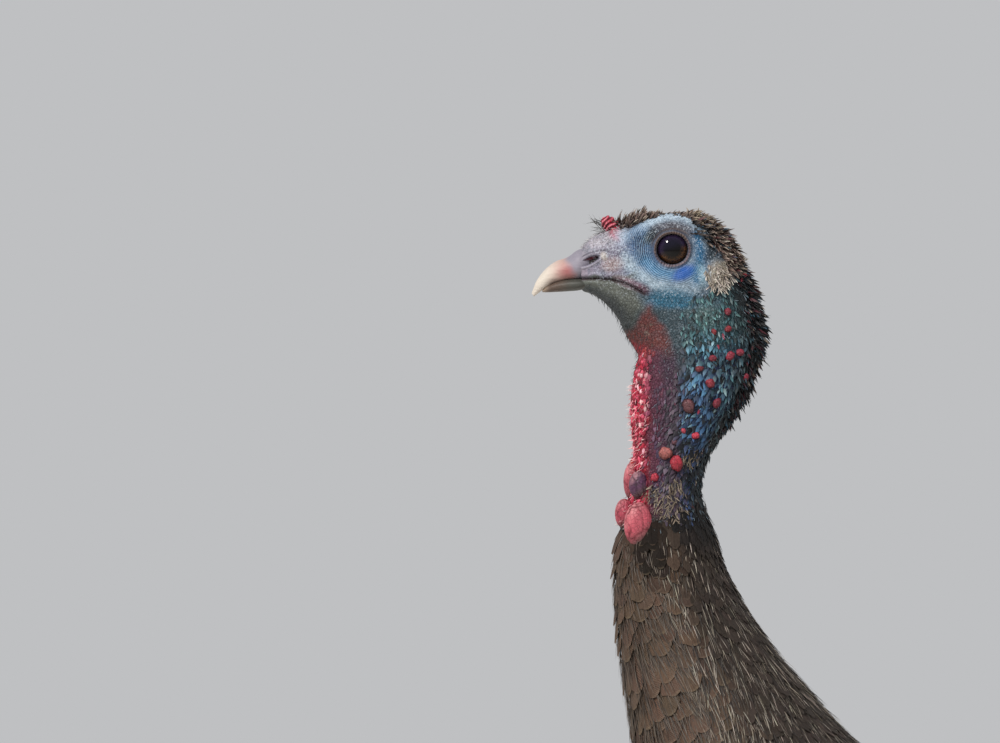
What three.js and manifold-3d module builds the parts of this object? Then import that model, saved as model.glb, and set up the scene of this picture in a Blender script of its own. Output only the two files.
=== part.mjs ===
// Wild turkey, a young male of about eleven months, standing alert with its neck raised.
// Life size, in millimetres, +Z up. It faces -X, and its left side is towards -Y.
// The body is one long loft from the bill's root to the rump. It is parted by thin cuts into head,
// bare neck, feathered neck and trunk, and the limbs, wings and tail are set against it.
import * as THREE from "three";
import { mergeVertices } from "three/addons/utils/BufferGeometryUtils.js";
import Module from "manifold-3d";

const wasm = await Module();
wasm.setup();

// Driving dimensions
const eyeHeight = 915; // centre of the eye above the ground
const gap = 0.3; // clearance between neighbouring pieces
const bodySegments = 22; // facets round the body
const ringsPerStation = 1.25; // rings along the body for each station of its loft
const eyeRadius = 8.8; // as seen from the side
const eyeDepth = 7.2; // half its depth into the head
const eyeInset = 6.4; // how far the eye's centre lies inside the side of the face
const tailLength = 345;
const tailDroop = THREE.MathUtils.degToRad(33);
const stride = 20; // each foot stands this far before or behind the middle
const legSpread = 60; // each leg's distance from the plane of symmetry
const shankHeight = 150; // hock above the ankle
const ankleHeight = 21;
const beardLength = 84;

// Materials
const finish = (color, roughness, metalness = 0) =>
  new THREE.MeshStandardMaterial({ color, roughness, metalness });
const materials = {
  face: finish(0x7d9bb3, 0.6),
  neckSkin: finish(0x2f5f8c, 0.6),
  redSkin: finish(0xc44a55, 0.55),
  horn: finish(0xd8c0ae, 0.4),
  eye: finish(0x2a1a12, 0.1),
  neckFeather: finish(0x5b4a3e, 0.75),
  bodyFeather: finish(0x57453a, 0.6, 0.15),
  wingFeather: finish(0x6b5a4c, 0.65),
  tailFeather: finish(0x7a5a3c, 0.7),
  leg: finish(0xb27f76, 0.55),
  claw: finish(0x4a3d38, 0.4),
  bristle: finish(0x1c1815, 0.7),
};

// One station of the loft: the low or front point and the high or back point of a section, as
// [x, z] from the eye's centre, the half width, the corner exponent, and how far towards the back
// point, as a share of the half depth, the section is widest.
const station = (front, back, half, power = 2, widest = 0) => ({ front, back, half, power, widest });

const bodyStations = [
  // face, from the bill's root to behind the eye
  station([-43.7, -19.8], [-43.7, 0.2], 8.6, 2.2),
  station([-37, -22.3], [-37, 6.2], 10.2, 2.2),
  station([-30.5, -27.5], [-29, 9.2], 12.6, 2.3, 0.05),
  station([-25.6, -34], [-20, 13], 15.2, 2.4, 0.12),
  station([-22, -41.5], [-10, 17.2], 17.0, 2.4, 0.18),
  station([-17.6, -48.2], [2, 18.2], 17.8, 2.4, 0.2),
  station([-16, -53.5], [14, 16], 18.0, 2.3, 0.14),
  // nape and throat
  station([-17.5, -59], [26.5, 6.5], 18.2, 2.2, 0.06),
  station([-18.4, -65], [35.5, -7.5], 18.6, 2.1),
  station([-19, -71], [42.4, -22.5], 19.0),
  station([-19, -77.5], [45.6, -38], 19.2),
  station([-18.6, -84], [43.8, -51.5], 19.0),
  station([-17.8, -91], [38, -68], 18.3),
  station([-17.6, -98.5], [28.6, -84.5], 17.2),
  station([-17.8, -107], [19.5, -99.5], 16.3),
  // the narrowest place, then the feathered neck
  station([-18.8, -117], [16.3, -114], 16.6),
  station([-22.5, -128], [17.2, -127], 18.8),
  station([-27, -138.5], [21, -138.5], 21.8),
  station([-28.5, -152], [25.5, -152], 25),
  station([-27.8, -171], [35, -171], 29.5),
  station([-25.5, -194], [50, -193], 35.5),
  station([-20.5, -228], [65, -211], 45),
  // shoulders and breast
  station([-17.5, -262], [80, -228], 56.5),
  station([-22, -297], [96, -243], 69),
  station([-36, -338], [114, -257], 81),
  station([-47, -385], [136, -272], 91),
  station([-46, -430], [162, -288], 97, 2.1, 0.06),
  station([-28, -472], [192, -307], 100, 2.15, 0.1),
  // belly and back
  station([8, -508], [225, -328], 100, 2.15, 0.12),
  station([58, -536], [260, -352], 96, 2.15, 0.12),
  station([112, -552], [294, -376], 88, 2.1, 0.12),
  station([168, -557], [326, -400], 77, 2.1, 0.1),
  // rump
  station([222, -547], [354, -422], 64, 2, 0.08),
  station([270, -529], [378, -441], 51, 2, 0.05),
  station([312, -508], [398, -457], 38),
  station([352, -488], [412, -468], 25),
];
const firstTrunkStation = 22;

const lerp = THREE.MathUtils.lerp;
const smooth = THREE.MathUtils.smoothstep;

// Stations as curves, so that a section can be read at any fraction of the way along.
function loft(stations, sideways = () => 0) {
  const curveOf = (pick) =>
    new THREE.CatmullRomCurve3(stations.map(pick), false, "catmullrom", 0.5);
  const curves = {
    front: curveOf((s) => new THREE.Vector3(s.front[0], 0, s.front[1])),
    back: curveOf((s) => new THREE.Vector3(s.back[0], 0, s.back[1])),
    shape: curveOf((s) => new THREE.Vector3(s.half, s.power, s.widest)),
  };
  // A point at fraction t of the way along and angle a from the back point, pushed out by swell.
  return (t, a, swell = 0) => {
    const front = curves.front.getPoint(t);
    const back = curves.back.getPoint(t);
    const shape = curves.shape.getPoint(t);
    const depth = back.distanceTo(front) / 2;
    const up = back.clone().sub(front).normalize();
    const round = (value) => Math.sign(value) * Math.abs(value) ** (2 / shape.y);
    const rise = round(Math.cos(a)) + shape.z * Math.sin(a) ** 2;
    const point = back.add(front).multiplyScalar(0.5);
    point.addScaledVector(up, rise * (depth + swell));
    point.y = sideways(t) + round(Math.sin(a)) * (shape.x + swell);
    return point;
  };
}

const ringOf = (count, place) =>
  Array.from({ length: count }, (_, i) => place((i / count) * 2 * Math.PI));

// A closed geometry from a stack of rings, capped at both ends.
function stack(rings) {
  const count = rings[0].length;
  const middle = (ring) =>
    ring.reduce((sum, p) => sum.add(p), new THREE.Vector3()).multiplyScalar(1 / count);
  const points = [...rings.flat(), middle(rings[0]), middle(rings.at(-1))];
  const firstCap = points.length - 2;
  const index = [];
  const top = (rings.length - 1) * count;
  for (let j = 0; j < count; j++) {
    const next = (j + 1) % count;
    for (let i = 0; i < rings.length - 1; i++) {
      const [a, b, c, d] = [i * count + j, i * count + next, (i + 1) * count + next, (i + 1) * count + j];
      index.push(a, b, c, a, c, d);
    }
    index.push(firstCap, next, j, firstCap + 1, top + j, top + next);
  }
  const geometry = new THREE.BufferGeometry().setFromPoints(points);
  geometry.setIndex(index);
  return facingOut(geometry);
}

// Turns a geometry's faces round where they enclose a negative volume.
function facingOut(geometry) {
  const at = geometry.attributes.position;
  const index = geometry.index.array;
  const corner = [0, 1, 2].map(() => new THREE.Vector3());
  let volume = 0;
  for (let i = 0; i < index.length; i += 3) {
    corner.forEach((v, k) => v.fromBufferAttribute(at, index[i + k]));
    volume += corner[0].dot(corner[1].cross(corner[2]));
  }
  if (volume < 0) for (let i = 0; i < index.length; i += 3)
    [index[i + 1], index[i + 2]] = [index[i + 2], index[i + 1]];
  return geometry;
}

// three.js geometry to a manifold-3d solid and back
function solid(geometry) {
  const bare = new THREE.BufferGeometry().setAttribute("position", geometry.attributes.position);
  bare.setIndex(geometry.index);
  const merged = mergeVertices(bare, 1e-4);
  return new wasm.Manifold(new wasm.Mesh({
    numProp: 3,
    vertProperties: new Float32Array(merged.attributes.position.array),
    triVerts: new Uint32Array(merged.index.array),
  }));
}

function geometryOf(shape) {
  const mesh = shape.getMesh();
  const geometry = new THREE.BufferGeometry();
  geometry.setAttribute("position", new THREE.BufferAttribute(mesh.vertProperties, 3));
  geometry.setIndex(new THREE.BufferAttribute(mesh.triVerts, 1));
  return geometry;
}

const cut = (shape, ...tools) => tools.reduce((left, tool) => left.subtract(tool), shape);
const join = (...shapes) => shapes.reduce((sum, shape) => sum.add(shape));
const largest = (shape) => shape.decompose().sort((a, b) => b.volume() - a.volume())[0];

function ellipsoid(centre, radii, { across = 12, up = 8, pitch = 0, yaw = 0 } = {}) {
  const ball = new THREE.SphereGeometry(1, across, up);
  ball.scale(...radii).rotateY(pitch).rotateZ(yaw).translate(...centre);
  return solid(ball);
}

// A round or flattened tube along points, with each ring's half width and half height from functions.
// Grow makes it larger all round, past its ends too.
function tube(points, halfWidth, halfHeight, { rings = 10, around = 10, grow = 0 } = {}) {
  const path = new THREE.CatmullRomCurve3(points);
  const across = new THREE.Vector3(0, 0, 1).cross(points.at(-1).clone().sub(points[0]));
  if (across.length() < 0.7 * points.at(-1).distanceTo(points[0])) across.set(0, 1, 0);
  across.normalize();
  const stackOf = [];
  for (let i = 0; i <= rings; i++) {
    const t = i / rings;
    const centre = path.getPoint(t);
    const along = path.getTangent(t);
    const side = across.clone().addScaledVector(along, -along.dot(across)).normalize();
    const rise = along.clone().cross(side).normalize();
    if (i === 0) centre.addScaledVector(along, -grow);
    if (i === rings) centre.addScaledVector(along, grow);
    stackOf.push(ringOf(around, (a) => centre.clone()
      .addScaledVector(side, Math.cos(a) * (halfWidth(t) + grow))
      .addScaledVector(rise, Math.sin(a) * (halfHeight(t) + grow))));
  }
  return solid(stack(stackOf));
}

// Body: the loft, then thin cuts across it
const bodySurface = loft(bodyStations);
const stationAt = (index) => index / (bodyStations.length - 1);

function bodyFrom(firstStation, lastStation, swell = 0) {
  const rings = [];
  const steps = Math.round((lastStation - firstStation) * ringsPerStation);
  for (let i = 0; i <= steps; i++) {
    const t = stationAt(lerp(firstStation, lastStation, i / steps));
    rings.push(ringOf(bodySegments, (a) => bodySurface(t, a, swell)));
  }
  return solid(stack(rings));
}

// A thin slab that lies in the plane of one section and parts the loft there.
function slabAt(index) {
  const t = stationAt(index);
  const back = bodySurface(t, 0);
  const front = bodySurface(t, Math.PI);
  const slab = new THREE.BoxGeometry(400, 400, gap);
  const tilt = -Math.atan2(back.z - front.z, back.x - front.x);
  slab.rotateY(tilt).translate((back.x + front.x) / 2, 0, (back.z + front.z) / 2);
  return solid(slab);
}

const lastStation = bodyStations.length - 1;
const wholeBody = bodyFrom(0, lastStation);
const cutStations = { throat: 9.3, featherEdge: 16.4, neckRoot: firstTrunkStation - 0.35 };
// The pieces come out in order of height, from the head to the trunk.
const cutSlabs = Object.values(cutStations).map(slabAt);
const [headRaw, neckUpperRaw, neckLowerRaw, trunk] = cut(wholeBody, ...cutSlabs)
  .decompose()
  .sort((a, b) => b.boundingBox().max[2] - a.boundingBox().max[2]);
const bodyWithGap = bodyFrom(0, lastStation, gap);

// Eyes, set in sockets
const faceSide = bodySurface(stationAt(5.2), THREE.MathUtils.degToRad(68)).y;
const eyeball = (side, grow = 0) => ellipsoid(
  [0, side * (faceSide - eyeInset), 0],
  [eyeRadius, eyeDepth, eyeRadius].map((r) => r + grow),
  { across: 12, up: 8 },
);

// Bill: two horny sheaths that meet along the gape
const billUpperStations = [
  station([-44, -14.6], [-44, -0.4], 8.3, 2.1),
  station([-50, -15], [-50, -4.2], 6.9, 2.1),
  station([-55.5, -16.2], [-56, -6.2], 5.4),
  station([-60, -18.4], [-61, -10], 3.9),
  station([-63.5, -20.6], [-65, -15.4], 2.4),
  station([-66.4, -22.6], [-67.2, -20.9], 0.9),
];
const billLowerStations = [
  station([-44, -19.7], [-44, -14.95], 7.6),
  station([-50, -20.3], [-50, -15.35], 6.2),
  station([-55.5, -20.6], [-55.5, -16.6], 4.6),
  station([-60, -20.8], [-60, -18.8], 2.6),
  station([-62, -20.7], [-62, -19.9], 1.1),
];

function stackOfStations(stations, ringsForEach, around, swell = 0, sideways) {
  const surface = loft(stations, sideways);
  const steps = (stations.length - 1) * ringsForEach;
  const rings = [];
  for (let i = 0; i <= steps; i++)
    rings.push(ringOf(around, (a) => surface(i / steps, a, swell)));
  return solid(stack(rings));
}

const billUpper = stackOfStations(billUpperStations, 2, 12);
const billUpperGap = stackOfStations(billUpperStations, 2, 12, gap);
const billLower = cut(stackOfStations(billLowerStations, 1, 10), billUpperGap);

// Nostril slits in front of the face, and a low swelling over each ear
const nostril = (side) => ellipsoid(
  [-37.5, side * 8.6, -3.6],
  [5.2, 3, 1.5],
  { across: 8, up: 5, pitch: 0.42 },
);
const earPatch = (side) => ellipsoid([18, side * 13.4, -13], [8, 6, 7], { across: 8, up: 6 });

const snoodShape = ellipsoid([-30.5, 0, 12], [3.4, 3, 6], { across: 10, up: 6, pitch: -0.65 });
const head = cut(
  join(headRaw, earPatch(-1), earPatch(1)),
  eyeball(-1, gap), eyeball(1, gap), nostril(-1), nostril(1), billUpperGap,
);
const snood = cut(snoodShape, bodyWithGap);

// Fleshy caruncles round the foot of the bare neck: centre, half sizes
const caruncles = [
  { centre: [-15.6, -14.5, -131], radii: [6.4, 5.2, 8.2] },
  { centre: [-23.4, -2.5, -125], radii: [4.6, 5.2, 8] },
  { centre: [-16, -11, -113.5], radii: [4.8, 4.6, 6.6] },
  { centre: [-20.2, 3.6, -110.5], radii: [4, 4.4, 6] },
  { centre: [-16.5, 14, -130], radii: [5.8, 5, 7.6] },
  { centre: [-14.6, 12, -112.5], radii: [4.4, 4.4, 6.2] },
];
const caruncleSolid = ({ centre, radii }, grow = 0) =>
  ellipsoid(centre, radii.map((r) => r + grow), { across: 8, up: 6, pitch: 0.12 });
const carunclesWithGap = caruncles.map((c) => caruncleSolid(c, gap));
const neckUpper = largest(cut(neckUpperRaw, ...carunclesWithGap));
const neckLower = largest(cut(neckLowerRaw, ...carunclesWithGap));
const caruncleSolids = caruncles.map((c, i) =>
  largest(cut(caruncleSolid(c), ...carunclesWithGap.slice(0, i))));

// Wings: each is a domed patch that hugs the trunk's side
const wingEdge = {
  firstStation: 23.5,
  lastStation: 34.2,
  along: 12,
  across: 5,
  thickness: 13,
};
// The patch's upper and lower edges at fraction s of its length, as angles from the back.
function wingSpan(s) {
  const closing = Math.sqrt(Math.max(0, 1 - Math.min(1, s / 0.16 - 1) ** 2));
  const tail = Math.sqrt(Math.max(0, 1 - Math.max(0, (s - 0.72) / 0.28) ** 2));
  const middle = lerp(1.32, 1.22, s);
  const half = lerp(0.72, 0.62, s) * (s < 0.16 ? closing : 1) * tail;
  return [middle - Math.max(half, 0.06), middle + Math.max(half, 0.06) * 0.95];
}

function wingPatch(side, grow = 0) {
  const { firstStation, lastStation, along, across, thickness } = wingEdge;
  const wider = grow / 80; // the grown patch reaches further round, as an angle
  const rings = [];
  for (let i = 0; i <= along; i++) {
    const s = i / along;
    const t = stationAt(lerp(firstStation, lastStation, s));
    const [high, low] = wingSpan(s);
    const rise = thickness * smooth(s, -0.06, 0.2) * lerp(1, 0.6, smooth(s, 0.5, 1)) + grow;
    const outer = [];
    const inner = [];
    for (let j = 0; j <= across; j++) {
      const share = j / across;
      const angle = side * lerp(high - wider, low + wider, share);
      const dome = 0.25 + 0.75 * Math.sin(Math.PI * lerp(0.12, 0.86, share)) ** 0.7;
      outer.push(bodySurface(t, angle, rise * dome + grow));
      inner.unshift(bodySurface(t, angle, -4));
    }
    rings.push([...outer, ...inner]);
  }
  return solid(stack(rings));
}

// Primaries: the long blade that runs out under the wing towards the rump
const primariesPath = [
  [215, 72, -478], [285, 60, -495], [360, 45, -512], [428, 36, -530],
];
function primariesBlade(side, grow = 0) {
  const points = primariesPath.map(([x, y, z]) => new THREE.Vector3(x, side * y, z));
  const tall = (t) => lerp(20, 17, t) * Math.sqrt(Math.max(0.04, 1 - smooth(t, 0.55, 1.04) ** 2));
  return tube(points, () => 4.2, tall, { rings: 7, around: 8, grow });
}

// Tail: folded fan, roofed a little, with a rounded end
const tailRoot = [352, -447];
const tailStations = [
  { at: 0, half: 30, thick: 22 },
  { at: 0.12, half: 36, thick: 21 },
  { at: 0.3, half: 43, thick: 16 },
  { at: 0.5, half: 49, thick: 10.5 },
  { at: 0.7, half: 54, thick: 6.5 },
  { at: 0.88, half: 57, thick: 4 },
  { at: 0.96, half: 50, thick: 3 },
  { at: 1, half: 34, thick: 2 },
];
function tailFan(grow = 0) {
  const along = [Math.cos(tailDroop), -Math.sin(tailDroop)];
  const across = [-along[1], along[0]];
  const ends = tailStations.map(({ at, half, thick }) => {
    const reach = at * tailLength + (at > 0 ? 38 : 0);
    const centre = [tailRoot[0] + along[0] * reach, tailRoot[1] + along[1] * reach];
    const point = (k) => [centre[0] + across[0] * thick * k, centre[1] + across[1] * thick * k];
    return station(point(-1), point(1), half, 2, 0);
  });
  const surface = loft(ends);
  const steps = 11;
  const rings = [];
  for (let i = 0; i <= steps; i++)
    rings.push(ringOf(14, (a) => {
      const p = surface(i / steps, a, grow);
      p.z -= 0.0022 * p.y ** 2; // the outer feathers hang lower than the middle ones
      return p;
    }));
  return solid(stack(rings));
}
const tail = largest(cut(tailFan(), bodyWithGap, wingPatch(-1, gap), wingPatch(1, gap)));
const tailWithGap = tailFan(gap);

// Legs: feathered thigh, scaled shank, foot of four toes, claws
const groundZ = -eyeHeight;
const legStations = [
  { z: -478, front: 92, back: 222, half: 40, out: -6 },
  { z: -535, front: 100, back: 218, half: 38, out: 0 },
  { z: -585, front: 121, back: 208, half: 29, out: 2 },
  { z: -635, front: 144, back: 203, half: 20.5, out: 1 },
  { z: -685, front: 164, back: 201, half: 14.5, out: 0 },
  { z: -728, front: 174, back: 201, half: 11, out: 0 },
  { z: -741, front: 179, back: 198, half: 8, out: 0 },
];
const hock = [190, groundZ + ankleHeight + shankHeight];
const ankle = [171, groundZ + ankleHeight];
const strideAt = (z, side) =>
  side * stride * smooth(-z, -legStations[0].z, -ankle[1]);

function thigh(side) {
  const spread = new THREE.CatmullRomCurve3(legStations.map((s) => new THREE.Vector3(s.out, 0, 0)));
  const rows = legStations.map(({ z, front, back, half }) => {
    const shift = strideAt(z, side);
    return station([front + shift, z], [back + shift, z], half);
  });
  return stackOfStations(rows, 1, 14, 0, (t) => side * (legSpread + spread.getPoint(t).x));
}

function shank(side, grow = 0) {
  const at = ([x, z]) => new THREE.Vector3(x + strideAt(z, side), side * legSpread, z);
  const aboveHock = [hock[0] + 1, hock[1] + 12];
  const belowHock = [186, hock[1] - 20];
  const points = [aboveHock, hock, belowHock, [178, -835], ankle, [169, groundZ + 11]];
  const knob = (t) => 2.4 * Math.exp(-(((t - 0.16) / 0.12) ** 2)) + 2.2 * smooth(t, 0.8, 1);
  const wide = (t) => 5 + knob(t);
  const deep = (t) => 6.2 + knob(t) * 1.3;
  return tube(points.map(at), wide, deep, { rings: 9, around: 9, grow });
}

// Toes fan out from the ankle: direction from straight ahead, length and thickness.
const toes = {
  inner: { turn: 0.52, length: 50, thick: 6.2, claw: 15, joints: 2 },
  middle: { turn: 0.03, length: 74, thick: 6.8, claw: 17, joints: 3 },
  outer: { turn: -0.6, length: 56, thick: 6, claw: 14, joints: 3 },
  hind: { turn: Math.PI - 0.35, length: 27, thick: 4.8, claw: 12, joints: 1 },
};

function toePoints(side, toe) {
  const foot = new THREE.Vector3(ankle[0] + strideAt(ankle[1], side) - 2, side * legSpread, groundZ);
  // Turned towards the plane of symmetry for the inner toe, away from it for the outer one.
  const heading = new THREE.Vector3(-Math.cos(toe.turn), -side * Math.sin(toe.turn), 0);
  const start = toe.length < 30 ? 17 : 13;
  const at = (reach, height) => foot.clone().addScaledVector(heading, reach).setZ(groundZ + height);
  return { at, start };
}

function toeSolid(side, toe) {
  const { at, start } = toePoints(side, toe);
  const long = toe.length;
  const points = [at(-2, start), at(long * 0.25, start * 0.56), at(long * 0.55, 4.4), at(long, 3)];
  const pads = (t) => 1 + 0.09 * Math.cos(2 * Math.PI * (t * toe.joints + 0.5));
  const thick = (t) => toe.thick * lerp(1.05, 0.72, t) * pads(t);
  return tube(points, thick, (t) => thick(t) * 0.92, { rings: 5, around: 6 });
}

// The pad under the joint where the toes meet
function solePad(side) {
  const { at } = toePoints(side, toes.middle);
  return ellipsoid(at(4, 6.5).toArray(), [10, 8.5, 8], { across: 10, up: 6 });
}

function clawSolid(side, toe, grow = 0) {
  const { at } = toePoints(side, toe);
  const end = toe.length;
  const points = [at(end - 4, 4.2), at(end + toe.claw * 0.45, 5), at(end + toe.claw, 1.6)];
  const thin = (t) => lerp(3.4, 0.9, t);
  return tube(points, (t) => thin(t) * 0.8, thin, { rings: 3, around: 5, grow });
}

const floor = solid(new THREE.BoxGeometry(1200, 800, 100).translate(150, 0, groundZ - 50));
const clawFloor = solid(new THREE.BoxGeometry(1200, 800, 100).translate(150, 0, groundZ - 49.6));

// Beard: a flat tuft of bristles from the middle of the breast
const beardLine = [[-24, -322], [-40, -338], [-50, -362], [-54.5, -388], [-54, -338 - beardLength]];
const beardPoints = beardLine.map(([x, z]) => new THREE.Vector3(x, 0, z));
const beard = largest(cut(
  tube(beardPoints, (t) => lerp(3.2, 4.6, t) * Math.sqrt(1.02 - t ** 6), () => 2.2, { rings: 6, around: 8 }),
  bodyWithGap,
));

// The scene graph
const turkey = new THREE.Group();
const bird = new THREE.Group();
bird.position.z = eyeHeight;
turkey.add(bird);

function place(name, shape, material) {
  const mesh = new THREE.Mesh(geometryOf(shape), material);
  mesh.name = name;
  bird.add(mesh);
}

place("head", head, materials.face);
place("bill_upper", billUpper, materials.horn);
place("bill_lower", billLower, materials.horn);
place("snood", snood, materials.redSkin);
place("neck_upper", neckUpper, materials.neckSkin);
place("neck_lower", neckLower, materials.neckFeather);
place("trunk", trunk, materials.bodyFeather);
place("tail", tail, materials.tailFeather);
place("beard", beard, materials.bristle);
caruncleSolids.forEach((shape, i) => place(`caruncle_${i + 1}`, shape, materials.redSkin));

for (const [sideName, side] of [["left", -1], ["right", 1]]) {
  place(`eye_${sideName}`, eyeball(side), materials.eye);
  const wingWithGap = wingPatch(side, gap);
  place(`wing_${sideName}`, largest(cut(wingPatch(side), bodyWithGap)), materials.wingFeather);
  const blade = cut(primariesBlade(side), bodyWithGap, wingWithGap, tailWithGap);
  place(`primaries_${sideName}`, largest(blade), materials.wingFeather);

  const shankWithGap = shank(side, gap);
  const clawTools = Object.values(toes).map((toe) => clawSolid(side, toe, gap));
  const thighPiece = cut(thigh(side), bodyWithGap, shankWithGap, wingWithGap, primariesBlade(side, gap));
  place(`thigh_${sideName}`, largest(thighPiece), materials.bodyFeather);
  const toeSolids = Object.values(toes).map((toe) => toeSolid(side, toe));
  const footShape = join(...toeSolids, solePad(side));
  place(`foot_${sideName}`, largest(cut(footShape, shankWithGap, floor, ...clawTools)), materials.leg);
  place(`shank_${sideName}`, shank(side), materials.leg);
  for (const [toeName, toe] of Object.entries(toes))
    place(`claw_${sideName}_${toeName}`, cut(clawSolid(side, toe), clawFloor), materials.claw);
  const spurAt = new THREE.Vector3(183 + strideAt(-840, side), side * (legSpread - 2), -840);
  const spurTip = spurAt.clone().add(new THREE.Vector3(13, -side * 4, 3));
  const spurShape = tube([spurAt, spurAt.clone().lerp(spurTip, 0.5), spurTip],
    (t) => lerp(3.8, 1, t), (t) => lerp(3.8, 1, t), { rings: 3, around: 6 });
  place(`spur_${sideName}`, largest(cut(spurShape, shankWithGap)), materials.claw);
}

// The origin is on the ground, under the middle of the whole bird.
const bounds = new THREE.Box3().setFromObject(turkey);
bird.position.x = -(bounds.min.x + bounds.max.x) / 2;
bird.position.y = -(bounds.min.y + bounds.max.y) / 2;
bird.position.z -= bounds.min.z;

export default turkey;
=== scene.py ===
import math
import bmesh
import bpy
import numpy as np
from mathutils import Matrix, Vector


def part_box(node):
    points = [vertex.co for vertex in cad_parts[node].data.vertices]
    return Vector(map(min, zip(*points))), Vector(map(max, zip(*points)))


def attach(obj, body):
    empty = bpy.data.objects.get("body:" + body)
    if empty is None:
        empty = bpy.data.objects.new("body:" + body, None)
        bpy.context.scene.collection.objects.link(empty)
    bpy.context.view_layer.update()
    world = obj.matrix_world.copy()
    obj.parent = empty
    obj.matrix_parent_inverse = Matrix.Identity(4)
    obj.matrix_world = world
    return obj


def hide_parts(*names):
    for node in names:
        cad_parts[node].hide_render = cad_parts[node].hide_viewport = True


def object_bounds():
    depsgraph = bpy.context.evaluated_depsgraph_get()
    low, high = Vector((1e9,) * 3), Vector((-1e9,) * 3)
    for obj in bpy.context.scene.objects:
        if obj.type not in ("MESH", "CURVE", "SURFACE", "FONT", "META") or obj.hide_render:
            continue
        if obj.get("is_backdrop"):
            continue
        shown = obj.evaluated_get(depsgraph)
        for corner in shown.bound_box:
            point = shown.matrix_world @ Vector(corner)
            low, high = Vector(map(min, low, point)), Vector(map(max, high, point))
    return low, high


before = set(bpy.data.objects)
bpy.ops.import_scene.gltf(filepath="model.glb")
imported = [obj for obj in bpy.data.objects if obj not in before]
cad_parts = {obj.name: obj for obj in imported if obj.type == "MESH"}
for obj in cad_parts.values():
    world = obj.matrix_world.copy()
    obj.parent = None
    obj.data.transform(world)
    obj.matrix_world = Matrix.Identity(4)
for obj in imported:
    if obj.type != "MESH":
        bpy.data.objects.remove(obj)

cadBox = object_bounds()
scene = bpy.context.scene
scene.view_settings.view_transform = "Standard"

# Lengths below are millimetres from the point midway between the eyes: x towards the tail, z up.
eyeBox = [np.array(corner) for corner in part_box("eye_left")]
eyeMiddle = np.array([(eyeBox[0][0] + eyeBox[1][0]) / 2, 0, (eyeBox[0][2] + eyeBox[1][2]) / 2])


def toFrame(points):
    return np.asarray(points, float) / 1000 + eyeMiddle


# Camera, level, looking at the bird's left side
cameraPlan = {"distance": 8.0, "lens": 600.0, "aimX": -82.6, "aimZ": -58.8}
camera = bpy.data.objects.new("camera", bpy.data.cameras.new("camera"))
camera.data.lens = cameraPlan["lens"]
camera.data.sensor_width = 36
camera.data.clip_end = 200
aim = toFrame([cameraPlan["aimX"], 0, cameraPlan["aimZ"]])
camera.location = Vector(aim) - Vector((0, cameraPlan["distance"], 0))
camera.rotation_euler = (math.radians(90), 0, 0)
scene.collection.objects.link(camera)
scene.camera = camera
print("camera set")


# Small maths on arrays
def clamp(x):
    return np.clip(x, 0, 1)


def ease(x, low, high):
    share = clamp((x - low) / (high - low))
    return share * share * (3 - 2 * share)


def mixed(a, b, share):
    return a + (b - a) * share


def unit(vectors):
    return vectors / np.maximum(np.linalg.norm(vectors, axis=-1, keepdims=True), 1e-9)


def hashed(cells, seed):
    mix = (
        cells[..., 0] * 73856093 ^ cells[..., 1] * 19349663 ^ cells[..., 2]
        * 83492791 ^ (seed * 912931 + 77)
    )
    mix = (mix ^ (mix >> 13)) * 1274126177
    mix = (mix ^ (mix >> 15)) * 668265263
    return ((mix ^ (mix >> 16)) & 0xFFFFFF) / 0xFFFFFF


def cloud(points, size, seed=0, octaves=2):
    total, weight, reach = 0, 1, 0
    for octave in range(octaves):
        place = points / size * 2**octave + 17.3 * (seed + 1)
        corner = np.floor(place).astype(np.int64)
        part = place - corner
        part = part * part * (3 - 2 * part)
        value = 0
        for dx in (0, 1):
            for dy in (0, 1):
                for dz in (0, 1):
                    near = hashed(corner + [dx, dy, dz], seed + octave)
                    share = abs(1 - dx - part[:, 0]) * abs(1 - dy - part[:, 1]) * abs(1 - dz - part[:, 2])
                    value = value + near * share
        total = total + (value * 2 - 1) * weight
        reach += weight
        weight *= 0.55
    return total / reach


def pebbles(points, size, seed=0):
    # distances to the nearest and second nearest of scattered points, in cells, and the nearest one's number
    place = points / size
    corner = np.floor(place).astype(np.int64)
    first = np.full(len(points), 9.0)
    second = np.full(len(points), 9.0)
    mark = np.zeros(len(points))
    for dx in (-1, 0, 1):
        for dy in (-1, 0, 1):
            for dz in (-1, 0, 1):
                cell = corner + [dx, dy, dz]
                spot = cell + np.stack([hashed(cell, seed + k) for k in (1, 2, 3)], -1)
                gap = np.linalg.norm(spot - place, axis=1)
                nearer = gap < first
                second = np.where(nearer, first, np.minimum(second, gap))
                mark = np.where(nearer, hashed(cell, seed + 9), mark)
                first = np.minimum(first, gap)
    return first, second, mark


def paint(words):
    # a colour from its six sRGB digits, as linear light
    values = np.array([int(words[i : i + 2], 16) / 255 for i in (0, 2, 4)])
    return np.where(values < 0.04045, values / 12.92, ((values + 0.055) / 1.055) ** 2.4)


def over(colours, words, share):
    return mixed(colours, paint(words), clamp(share)[:, None])


def oval(x, z, cx, cz, rx, rz, turn=0.0, soft=0.35):
    dx, dz = x - cx, z - cz
    cosine, sine = math.cos(turn), math.sin(turn)
    reach = np.hypot((dx * cosine + dz * sine) / rx, (dz * cosine - dx * sine) / rz)
    return 1 - ease(reach, 1 - soft, 1 + soft)


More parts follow.
